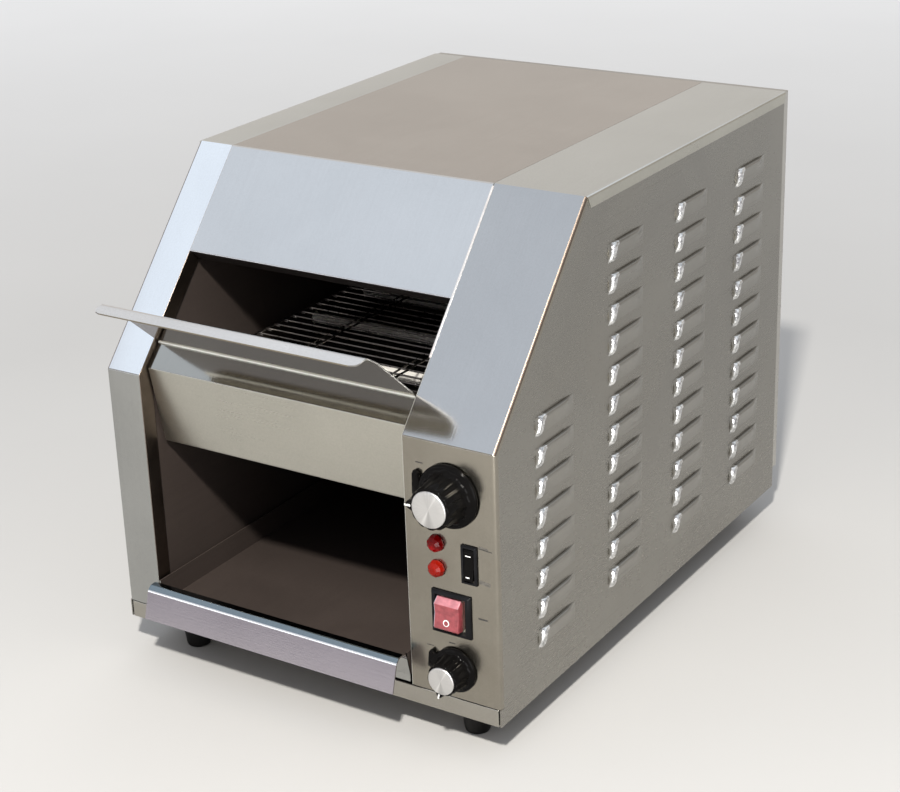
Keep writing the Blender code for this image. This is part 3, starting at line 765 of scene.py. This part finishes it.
(ya, za), (yb, zb) = path[:2]
path[1:1] = [(ya + (yb - ya) * i / 7.5, za + (zb - za) * i / 7.5) for i in range(1, 6)]
slide = sheet_x("feed_slide_sheet", path, T, -147.0, 101.0, slide_corner)
n_slide = len(slide.data.polygons)
hem = sheet_x("hem", arc(-224.6, 247.2, 1.3, 350, 120, 8), 0.5, -146.8, 100.8)
slide = merge("feed_slide_sheet", [slide, hem])
sheet(slide, "slide", "feed_slide")
# shelf faces: 1 the underside (painted shade), 2 the hem (painted highlight), 3 the ends (dark
# copy, painted shade)
paint(slide, ("slide_under_shaded", "fold_highlight", "cut"), lambda x, y, z, n, i:
      2 if i >= n_slide else 3 if abs(n.x) > 0.25 else int(n.z < -0.1))

# ---------- side panels with louvers
LOUVERS = ((-192.0, 8), (-78.0, 12), (36.5, 12), (150.0, 12))     # a column's front, count
L_LEN, L_HIGH, L_OUT = 58.0, 15.5, 3.3      # one louver's length, height and rise
L_LOW, L_STEP = 40.5, 25.4                  # the lowest one's height, and the next one's
CAP, NOSE, LEAN, FADE = 8.6, 4.4, 4.6, 17.0     # nose length, rise, lean; run-out at the rear
SCOOP = 0.86                                # share of the height that slopes out


def louver_rise(u, v):
    """How far a louver stands out: a shallow scoop open at the top, with a rounded nose.
    u: length from the front; v: share of the height."""
    if v < SCOOP:
        w = v / SCOOP
        scoop = w * (0.5 + 0.5 * w)
    else:
        w = (v - SCOOP) / (1 - SCOOP)
        scoop = 0.42 + 0.58 * math.sqrt(max(0.0, 1 - w * w))
    scoop *= L_OUT * math.sqrt(max(0.0, 1 - (1 - min(1.0, u / (CAP * 1.25))) ** 2))
    w = min(1.0, (L_LEN - u) / FADE)
    scoop *= w * w * (3 - 2 * w)
    half = CAP / 2
    q = 1 - abs((u - half) / (half * 1.02)) ** 2.2 - abs((v - 0.50) / 0.515) ** 3.2
    return max(scoop, NOSE * math.sqrt(q) * (0.78 + 0.22 * v) if q > 0 else 0.0)


def louver_patch(verts, faces, sg, y0, zb):
    us = [CAP * q for q in (0, 0.02, 0.08, 0.17, 0.29, 0.43, 0.57, 0.71, 0.83, 0.92, 0.98, 1.04,
                            1.15, 1.30)]
    us = us + [us[-1] + (L_LEN - us[-1]) * i / 10 for i in range(1, 11)]
    vs = [0.0, 0.03, 0.08, 0.16, 0.27, 0.40, 0.53, 0.66, 0.78, 0.86, 0.91, 0.95, 0.98, 1.0]
    first, n, rows = len(verts), len(us), len(vs)
    for layer in (0, 1):
        for v in vs:
            for u in us:
                out = louver_rise(u, v)
                y = y0 + u + (LEAN * v * (1 - u / L_LEN) if u > 0 else 0.0)
                verts.append((sg * (SIDE_X + out - T * layer), y, zb + L_HIGH * v))
    size = n * rows

    def idx(layer, j, i):
        return first + layer * size + j * n + i

    for j in range(rows - 1):
        for i in range(n - 1):
            a = [(j, i), (j, i + 1), (j + 1, i + 1), (j + 1, i)]
            faces.append(tuple(idx(0, *q) for q in a))
            faces.append(tuple(idx(1, *q) for q in a[::-1]))
    top = rows - 1
    rim = [(0, i) for i in range(n)] + [(j, n - 1) for j in range(1, rows)] \
        + [(top, i) for i in range(n - 2, -1, -1)] + [(j, 0) for j in range(top - 1, 0, -1)]
    for a, b in zip(rim, rim[1:] + rim[:1]):
        faces.append((idx(0, *b), idx(0, *a), idx(1, *a), idx(1, *b)))


for sg, tag in ((1, "right"), (-1, "left")):
    poly = [(FRONT + 0.5, 0.2), (FRONT + 0.5, 15.4)] + outline(5.0, 15.4, 248.2) + [(248.2, 0.2)]
    plate = prism_x(tag + "_side_plate", poly, sg * (SIDE_X - T), sg * SIDE_X)
    holes, hv, hf = [], [], []
    for y0, count in LOUVERS:
        for i in range(count):
            zb = L_LOW + L_STEP * i
            a, b = sorted((sg * (SIDE_X - 4), sg * (SIDE_X + 4)))
            holes.append((a, b, y0, y0 + L_LEN, zb, zb + L_HIGH))
            louver_patch(hv, hf, sg, y0, zb)
    cut(plate, boxes("holes", holes))
    plate_faces = len(plate.data.polygons)
    hoods = build(tag + "_louvers", hv, hf, 50)
    panel = merge(tag + "_side_sheet", [plate, hoods], 50)
    sheet(panel, "side", tag + "_side_panel")

    # plate faces keep the side steel, hoods the louver copy, noses the lighter copy: painted
    # glint
    def panel_look(_, y, z, __, i):
        if i < plate_faces:
            return 0
        v = ((z - L_LOW) % L_STEP) / L_HIGH
        return 2 if any(0.1 < y - y0 - LEAN * v < CAP for y0, _ in LOUVERS) else 1

    paint(panel, ("louver", "louver_cap_glint"), panel_look)

# ---------- base pan, rear cover
pan = from_cad("base_pan", "base_pan_sheet", 0.9)
sheet(pan, "base", "base_pan")
paint(pan, ["inner"], lambda x, y, z, n, i: int(n.z > 0.9 and z < 5.0))
rear = from_cad("rear_cover", "rear_cover_sheet", 0.8, join_faces=False)
sheet(rear, "rear", "rear_cover")

# ---------- tray
path = fillet([(30.0, 22.0), (-248.0, 22.0), (-251.6, 38.0), (-256.0, 43.2), (-262.0, 43.2),
               (-265.2, 40.0), (-272.0, 17.3)], [1.2, 5.0, 3.5, 2.6, 3.0], 7)
TRAY_L, TRAY_R = -147.0, 101.0
flange = [(-247.2, 22.2), (29.9, 22.2), (29.9, 36.0), (22.0, 43.4), (-251.6, 43.4),
          (-250.2, 36.0)]
tray = merge("output_tray_sheet", [
    sheet_x("tray_sheet", path, T, TRAY_L, TRAY_R),
    sheet_x("skirt", [(-248.05, 16.4), (-248.05, 23.0)], T, TRAY_L, TRAY_R),
    prism_x("flange", flange, TRAY_L, TRAY_L + T),
    prism_x("flange", flange, TRAY_R - T, TRAY_R)])
place(tray, "output_tray", "tray", "stainless", "output_tray")


def tray_look(_, y, z, n, __):
    """Dark inside, brighter skirt, and on the lip's rolled top a painted dark blue-grey
    reflection and a painted near-white highlight along its bend.
    """
    if y > -247.0 and abs(n.z) < 0.99 or y > -240:
        return 1
    if -252.5 < y < -247.0 and n.y < -0.8:
        return 2
    if z > 34.0 and n.z > 0.67:
        return 3
    return 4 if z > 34.0 and n.z > 0.32 and n.y < 0 else 0


paint(tray, ("inner", "front_left", "lip_top_reflection", "lip_highlight"), tray_look)

# ---------- feet
for ny in ("front", "rear"):
    for nx in ("left", "right"):
        node = "foot_%s_%s" % (ny, nx)
        fx, fy, _ = centre(node)
        ft = lathe(node + "_rubber", "z", (fx, fy),
                   [(-0.2, 0), (-0.2, 13.2), (-0.8, 14.0), (-3.6, 14.0), (-4.4, 13.4),
                    (-28.6, 10.3), (-30.4, 9.7), (-31.0, 8.8), (-31.0, 0)], 48)
        place(ft, "cabinet", "rubber", "foot_rubber", node)

# ---------- conveyor belt
BELT_Z, BELT_R = 198.0, 24.0
IDLER, DRIVE = (-165.0, BELT_Z), (150.0, BELT_Z)
SPAN = DRIVE[0] - IDLER[0]
LOOP = 2 * SPAN + 2 * math.pi * BELT_R
N_WIRE = 65
PITCH = LOOP / N_WIRE
WIRE, SIDES = 0.85, 6          # the wire's radius, and how many sides its tube has


def loop_point(s, r):
    """(y, z) at length s along the belt's loop, r off the rollers' axes."""
    half, s = divmod(s % LOOP, LOOP / 2)
    start, end, way = (DRIVE, IDLER, -1) if half else (IDLER, DRIVE, 1)
    if s < SPAN:
        return start[0] + way * s, start[1] + way * r
    w = way * math.pi / 2 - (s - SPAN) / BELT_R
    return end[0] + r * math.cos(w), end[1] + r * math.sin(w)


def wire_tube(verts, faces, pts):
    """One bent wire. pts: (x, length along the belt, radius on it)."""
    P = [Vector((x, *loop_point(s, r))) for x, s, r in pts]
    rows = []
    for i, p in enumerate(P):
        t = (P[min(len(P) - 1, i + 1)] - P[max(0, i - 1)]).normalized()
        if IDLER[0] < p.y < DRIVE[0]:
            up = Vector((0, 0, 1 if p.z > BELT_Z else -1))
        else:
            c = IDLER if p.y <= IDLER[0] else DRIVE
            up = Vector((0, p.y - c[0], p.z - c[1])).normalized()
        side = t.cross(up).normalized()
        up = side.cross(t).normalized()
        rows.append(range(len(verts), len(verts) + SIDES))
        for k in range(SIDES):
            w = 2 * math.pi * k / SIDES
            verts.append(tuple(p + (side * math.cos(w) + up * math.sin(w)) * WIRE))
    for p, q in zip(rows[:-1], rows[1:]):
        for k in range(SIDES):
            j = (k + 1) % SIDES
            faces.append((p[k], p[j], q[j], q[k]))
    faces.append(tuple(rows[0]))
    faces.append(tuple(rows[-1][::-1]))


verts, faces = [], []
X0, X1, R = -131.2, 85.2, BELT_R
for i in range(N_WIRE):
    s = i * PITCH
    back = s - PITCH             # each wire hooks round the one behind it
    pts = [(X0 + 5.2, back - 1.2, R - 0.7), (X0 + 2.6, back - 1.9, R), (X0, back - 1.2, R + 0.6),
           (X0, back + 2.5, R), (X0, s - 1.0, R), (X0 + 1.0, s, R)]
    for xj in (-72.0, 26.0):
        pts += [(xj - 4.2, s, R), (xj - 3.4, s - 1.0, R), (xj - 3.0, back + 1.2, R),
                (xj - 2.2, back - 1.6, R + 0.7), (xj + 2.2, back - 1.6, R + 0.7),
                (xj + 3.0, back + 1.2, R), (xj + 3.4, s - 1.0, R), (xj + 4.2, s, R)]
    pts += [(X1 - 1.0, s, R), (X1, s - 1.0, R), (X1, back + 2.5, R), (X1, back - 1.2, R + 0.6),
            (X1 - 2.6, back - 1.9, R), (X1 - 5.2, back - 1.2, R - 0.7)]
    wire_tube(verts, faces, pts)
belt = build("wire_belt", verts, faces, 50)
place(belt, "cabinet", "wire", "belt_wire", "conveyor_belt")

# ---------- knobs
YF = FRONT - 0.3               # the control face
KX, _, KZ = centre("speed_knob_cap")
SX, _, SZ = centre("selector_knob_cap")
BX, _, BZ = centre("small_rocker_bezel")
RX, _, RZ = centre("large_rocker_bezel")
SPEED_AT, SELECT_AT = 181, 258     # where each knob's nose points, degrees


def turned(prof):
    """(distance out from the control face, radius) to (y, radius)."""
    return [(YF - d, r) for d, r in prof]


def prism_y(name, pts, y0, y1):
    """Outline of (x, z) points as a slab between two y planes."""
    n = len(pts)
    verts = [(x, y0, z) for x, z in pts] + [(x, y1, z) for x, z in pts]
    faces = [tuple(range(n)), tuple(range(n, 2 * n))[::-1]]
    faces += [(i, (i + 1) % n, n + (i + 1) % n, n + i) for i in range(n)]
    return build(name, verts, faces)


def knob(name, c, prof, skirt, flutes, depth, nose, nose_out, tab):
    """Turned knob: plain skirt, fluted body with a pointer nose, and a tab on the skirt."""
    nose = math.radians(nose)

    def radial(a, r, w):
        if a > YF - skirt or r < 3.1:
            return r
        f = 0.5 + 0.5 * math.cos(flutes * (w - nose))
        r -= depth * (1 - f) ** 1.6
        d = abs((w - nose + math.pi) % (2 * math.pi) - math.pi)
        k = max(0.0, 1.0 - d / 0.34)
        return r + nose_out * k * k * (3 - 2 * k)

    body = lathe(name, "y", c, turned(prof), 192, 42, radial)
    fin = prism_y("fin", [(c[0] + x, c[1] + z) for x, z in tab], YF + 0.02, YF - 3.4)
    soften(fin, 0.7, 3)
    bake(fin)
    ob = merge(name, [body, fin], 42)
    place(ob, name[:-5], "knob", "knob_plastic", name[:-5])


knob("speed_knob_body", (KX, KZ),
     [(-12.0, 0), (-12.0, 3.0), (0, 3.0), (0, 24.7), (0.4, 25.3), (2.2, 25.5), (3.0, 25.2),
      (3.6, 24.4), (3.9, 23.2), (4.3, 21.6), (5.2, 20.3), (7.0, 19.4), (11.0, 18.8),
      (17.0, 18.1), (23.0, 17.5), (25.4, 17.2), (26.5, 16.7), (27.1, 15.9), (27.25, 15.1),
      (26.8, 14.8), (26.8, 0)], 4.0, 12, 0.95, SPEED_AT, 4.6,
     [(-31.0, -4.0), (-30.6, 12.5), (-29.4, 15.6), (-25.6, 14.4), (-24.6, 9.5), (-22.5, 2.0),
      (-24.6, -6.0)])
knob("selector_knob_body", (SX, SZ),
     [(-12.0, 0), (-12.0, 3.0), (0, 3.0), (0, 17.9), (0.4, 18.4), (1.8, 18.5), (2.4, 18.2),
      (2.9, 17.4), (3.2, 16.4), (4.0, 15.4), (5.4, 14.8), (9.0, 14.3), (14.0, 13.8),
      (17.6, 13.4), (19.0, 13.1), (19.9, 12.6), (20.3, 11.9), (20.35, 11.5), (20.0, 11.3),
      (20.0, 0)], 3.3, 10, 0.8, SELECT_AT, 3.4,
     [(-23.4, -1.5), (-22.2, 10.6), (-20.6, 12.9), (-17.0, 9.6), (-12.0, 12.0), (-12.0, -6.0)])
for node, c, y0, r in (("speed_knob_cap", (KX, KZ), YF - 26.9, 14.6),
                       ("selector_knob_cap", (SX, SZ), YF - 20.1, 11.25)):
    cap = lathe(node + "_disc", "y", c,
                [(y0, 0), (y0, r), (y0 - 0.9, r), (y0 - 1.25, r - 0.25), (y0 - 1.45, r - 0.8),
                 (y0 - 1.45, r * 0.5), (y0 - 1.45, 0)], 96, 40)
    place(cap, node[:-4], spun_cap(node + "_spun", (c[0], y0, c[1])), "knob_cap", node)


def ray_mark(name, c, ang, r0, r1, half, y0, y1):
    """The white line on a knob's nose, tapering outwards."""
    w = math.radians(ang)
    cs, sn = math.cos(w), math.sin(w)
    return prism_y(name, [(c[0] + r * cs - h * sn, c[1] + r * sn + h * cs)
                          for r, h in ((r0, -half), (r1, -half * 0.8), (r1, half * 0.8),
                                       (r0, half))], y1, y0)


place(ray_mark("speed_knob_mark", (KX, KZ), SPEED_AT, 16.4, 21.4, 0.75, YF - 27.4, YF - 25.6),
      "speed_knob", "white", "knob_cap")
place(ray_mark("selector_knob_mark", (SX, SZ), SELECT_AT, 12.4, 16.4, 0.7, YF - 20.5, YF - 19.0),
      "selector_knob", "white", "knob_cap")

# ---------- lamps
M["lens_upper"] = red_lens("lamp_lens_upper", (0.27, 0.002, 0.003), 0.06, 0.03, 0.10)
M["lens_lower"] = red_lens("lamp_lens_lower", (0.27, 0.008, 0.003), 0.06, 0.03, 0.10)
for tag in ("upper", "lower"):
    x, _, z = centre("indicator_lamp_" + tag)
    lens = lathe("lamp_%s_lens" % tag, "y", (x, z),
                 turned([(-13, 0), (-13, 5.4), (0, 5.4), (0, 7.1), (1.4, 7.1), (4.3, 6.0),
                         (6.6, 3.3), (7.4, 0)]), 9, 12)
    soften(lens, 0.25, 2, 12)
    place(lens, "cabinet", "lens_" + tag, "lamp_red", "indicator_lamp_" + tag)

# ---------- rockers
M["rocker"] = red_lens("rocker_lens", (0.34, 0.066, 0.078), 0.16, 0.3, 0.4)
# A lighter pink copy for the key's upward facet: painted light.
M["rocker_top_lit"] = red_lens("rocker_lens_top_painted_light", (0.50, 0.19, 0.22), 0.14, 0.3, 0.4)


def bezel(name, c, half, front, hole, chamfer):
    """Rectangular frame with sloped outer sides and a recessed opening."""
    outer, inner = Vector(half), Vector(hole)
    loops = [(outer, 0.02), (outer, -0.8), (outer - Vector((chamfer, chamfer)), -front),
             (inner + Vector((0.5, 0.5)), -front), (inner, 0.5 - front), (inner, 9.0),
             (inner + Vector((1.2, 1.2)), 9.0), (inner + Vector((1.2, 1.2)), 0.02)]
    verts, faces = [], []
    for (a, b), y in loops:
        verts += [(c[0] + a * i, YF + y, c[1] + b * j)
                  for i, j in ((-1, -1), (1, -1), (1, 1), (-1, 1))]
    n = len(loops)
    for i in range(n):
        j = (i + 1) % n
        for k in range(4):
            m = (k + 1) % 4
            faces.append((4 * i + k, 4 * i + m, 4 * j + m, 4 * j + k))
    ob = build(name, verts, faces)
    soften(ob, 0.45)
    bake(ob)
    return ob


ROCKER_REST = math.radians(-8.0)
SMALL_PIVOT, LARGE_PIVOT = -247.0, -248.0


def tilt(c, pivot, x, u, v):
    """A point on a rocker at rest: x across, u up and v out from its pivot."""
    a = ROCKER_REST
    return (c[0] + x, pivot - (u * math.sin(a) + v * math.cos(a)),
            c[1] + u * math.cos(a) - v * math.sin(a))


def key(name, c, half_w, prof, pivot, width):
    """Rocker key from a profile of (up, out)."""
    ob = prism_x(name, [tilt(c, pivot, 0, u, v)[1:] for u, v in prof], c[0] - half_w,
                 c[0] + half_w)
    soften(ob, width, 4, 14)
    bake(ob)
    return ob


bz = bezel("small_rocker_frame", (BX, BZ), (7.0, 16.0), 2.2, (4.6, 13.6), 0.7)
place(bz, "cabinet", "black", "black_plastic", "small_rocker_bezel")
rk = key("small_rocker_key", (BX, BZ), 4.1,
         [(-12.5, 0), (-12.5, 5.2), (-6.0, 4.3), (1.0, 4.4), (9.5, 6.4), (12.5, 5.2), (12.5, 0),
          (4.4, -6.0), (-4.4, -6.0)], SMALL_PIVOT, 0.5)
place(rk, "small_rocker", "knob", "black_plastic", "small_rocker")
bz = bezel("large_rocker_frame", (RX, RZ), (17.5, 18.0), 3.4, (13.2, 14.9), 1.6)
place(bz, "cabinet", "black", "black_plastic", "large_rocker_bezel")
rk = key("large_rocker_key", (RX - 1.4, RZ), 10.9,
         [(-13.2, 0), (-13.2, 6.6), (-11.5, 8.2), (0, 7.6), (7.6, 9.6), (12.9, 5.2), (13.2, 0),
          (4.6, -6.5), (-4.6, -6.5)], LARGE_PIVOT, 0.8)
place(rk, "large_rocker", "rocker", "rocker_red", "large_rocker")
# faces: 1 the key's left side in clear plastic, 2 its upward facet in the lighter copy (painted
# light)
paint(rk, ("clear", "rocker_top_lit"), lambda x, y, z, n, i:
      1 if x - RX < -11.2 and n.y < -0.2 else 2 if n.z > 0.30 and n.y < -0.25 else 0)


# a plain ring on the large rocker, two plain dashes on the small one
def ring(name, c, pivot, u0, v0, r, thick):
    verts, faces = [], []
    n, m = 24, 6
    for i in range(n):
        w = 2 * math.pi * i / n
        for j in range(m):
            q = 2 * math.pi * j / m
            rr = r + thick * math.cos(q)
            verts.append(tilt(c, pivot, rr * math.cos(w), u0 + rr * math.sin(w),
                              v0 + 0.35 * thick * math.sin(q)))
    for i in range(n):
        for j in range(m):
            a, b = i * m, ((i + 1) % n) * m
            k = (j + 1) % m
            faces.append((a + j, b + j, b + k, a + k))
    return build(name, verts, faces)


def dash(name, c, pivot, x0, x1, u0, u1, v0, v1):
    verts = [tilt(c, pivot, x, u, v) for x in (x0, x1) for u in (u0, u1) for v in (v0, v1)]
    return build(name, verts, BOX_FACES)


place(ring("large_rocker_ring", (RX - 1.2, RZ), LARGE_PIVOT, -6.6, 7.95, 2.3, 0.42),
      "large_rocker", "white", "knob_cap")
place(dash("small_rocker_dash", (BX, BZ), SMALL_PIVOT, -1.6, 1.6, -10.2, -9.3, 4.5, 5.0),
      "small_rocker", "white", "knob_cap")
place(dash("small_rocker_line", (BX, BZ), SMALL_PIVOT, -2.3, 2.3, 6.9, 7.7, 5.4, 6.05),
      "small_rocker", "white", "knob_cap")


# ---------- printed tick marks
def slivers(name, rows, mat):
    parts = []
    for x, z, w, h, drop_by in rows:
        parts.append(prism_y("t", [(x - w / 2, z - h / 2), (x + w / 2, z - h / 2 - drop_by),
                                   (x + w / 2, z + h / 2 - drop_by), (x - w / 2, z + h / 2)],
                             FRONT - 0.01, FRONT - 0.07))
    place(merge(name, parts), "cabinet", mat, "black_plastic")


slivers("panel_ticks", [(118.2, 207.3, 6.4, 0.9, 0.0), (173.4, 148.4, 12.0, 0.7, 0.8),
                        (170.2, 89.8, 8.2, 1.3, 0.0), (122.2, 55.6, 6.0, 0.6, 0.0),
                        (142.0, 62.4, 5.4, 1.0, 0.0)], "ink")
slivers("panel_smears", [(172.6, 121.0, 10.0, 3.2, 1.0), (172.5, 149.6, 8.0, 1.8, 0.9)], "smear")


# ---------- gland
def nut_flats(a, r, w):
    on_nut = 258.9 < a < 265.5 and r > 11.5
    return r * (1 - 0.05 * abs(math.sin(3 * w))) if on_nut else r


gx, _, gz = centre("cable_gland")
gl = lathe("gland_nut", "y", (gx, gz),
           [(247.0, 4.6), (247.0, 8.0), (258.8, 8.0), (258.8, 12.0), (260.0, 12.3),
            (265.0, 12.3), (266.0, 11.6), (270.6, 9.4), (272.0, 8.2), (272.0, 5.2), (271.4, 4.6)],
           36, 25, nut_flats, closed=True)
place(gl, "cabinet", "black", "black_plastic", "cable_gland")

# ---------- carried-over CAD nodes
KEEP = {
    "inner": ["left_inner_wall", "right_inner_wall", "rear_inner_wall", "belt_shield",
              "return_chute", "tray_runner_left", "tray_runner_right", "motor_bracket"],
    "reflector": ["upper_reflector", "lower_reflector"],
    "ceramic": ["%s_heater_holder_%s" % (a, b) for a in ("upper", "lower")
                for b in ("left", "right")],
    "shaft": ["drive_shaft", "idler_shaft", "drive_sprocket", "motor_sprocket", "drive_chain"],
    "bronze": ["%s_bearing_%s" % (a, b) for a in ("drive", "idler") for b in ("left", "right")],
    "motor": ["gear_motor"],
    "black": ["fan_frame", "fan_rotor", "speed_control", "selector_switch"],
    "quartz": ["%s_heater_%d" % (row, i) for row in ("upper", "lower") for i in (1, 2, 3)],
}
M["quartz"] = quartz()
for mat, names in KEEP.items():
    for name in names:
        give(NODES[name], mat)


# ---------- floor and light
FLOOR_NEAR, FLOOR_FAR = 0.43, 0.92     # its tone near the oven and far off


def floor_paint():
    """Pale paint, a little paler away from the lamp so the floor reads even."""
    k = Mat("floor_paint")
    where = k.coords()
    far = k.n("ShaderNodeVectorMath", operation="LENGTH")
    k.l(where, far.inputs[0])
    tone = k.ramp(far.outputs["Value"], FLOOR_NEAR, FLOOR_FAR, 0.8, 4.2)
    tone = k.math("MULTIPLY", tone, k.ramp(k.noise(where, 3.0), 0.99, 1.01))
    return k.link(Base_Color=k.grey_times(tone, (1.0, 0.985, 0.96)), Roughness=0.9,
                  Specular_IOR_Level=0.1)


S = 16.0                               # half its side, metres
fm = bpy.data.meshes.new("floor")
fm.from_pydata([(-S, -S, 0), (S, -S, 0), (S, S, 0), (-S, S, 0)], [], [(0, 1, 2, 3)])
floor = link("floor", fm)
give(floor, floor_paint())

bpy.context.scene.view_settings.view_transform = "Standard"
world = bpy.data.worlds.new("studio")
bpy.context.scene.world = world
world.use_nodes = True
sky = Nodes(world.node_tree)
bg = sky.t.nodes["Background"]
way = sky.n("ShaderNodeSeparateXYZ")
sky.l(sky.n("ShaderNodeTexCoord").outputs["Generated"], way.inputs[0])
low = sky.mix(sky.ramp(way.outputs["Y"], 0, 1, -0.2, 0.6, "SMOOTHSTEP"),
              (0.62, 0.60, 0.63), (0.62, 0.585, 0.55))
high = sky.ramp(way.outputs["Z"], 0, 1, 0.38, 0.64, "SMOOTHSTEP")
sky.l(sky.mix(high, low, (0.90, 0.945, 1.01)), bg.inputs["Color"])
bg.inputs["Strength"].default_value = 1.0


def area(name, at, aim, size, power, col=(1, 1, 1), gloss_only=False):
    ld = bpy.data.lights.new(name, "AREA")
    ld.shape = "RECTANGLE"
    ld.size, ld.size_y = size
    ld.energy = power
    ld.color = col
    ob = bpy.data.objects.new(name, ld)
    bpy.context.scene.collection.objects.link(ob)
    ob.location = at
    ob.rotation_euler = (Vector(aim) - Vector(at)).to_track_quat("-Z", "Y").to_euler()
    ob.visible_camera = False
    if gloss_only:
        ob.visible_diffuse = False
    return ob


# a small hard key, two cards that only reflections see, and a soft fill behind; metres
aim_at = Vector((-0.05, -0.19, 0.15))
sun_dir = Vector((0.359, -0.575, 0.735))
area("key", aim_at + sun_dir * 2.7, aim_at, (0.13, 0.13), 118, (1.0, 0.965, 0.91))
area("card_right", (0.78, -0.80, 0.29), (0.19, -0.1, 0.0), (0.42, 0.58), 5.2, (1, 1, 1), True)
area("card_left", (-1.35, -2.35, 0.62), (0, -0.26, 0.07), (2.4, 0.24), 4.5, (0.95, 0.98, 1), True)
back_fill = area("back_fill", (-1.5, 3.0, 2.6), (-1.4, 2.7, 0), (3.0, 3.0), 14)
back_fill.visible_glossy = False
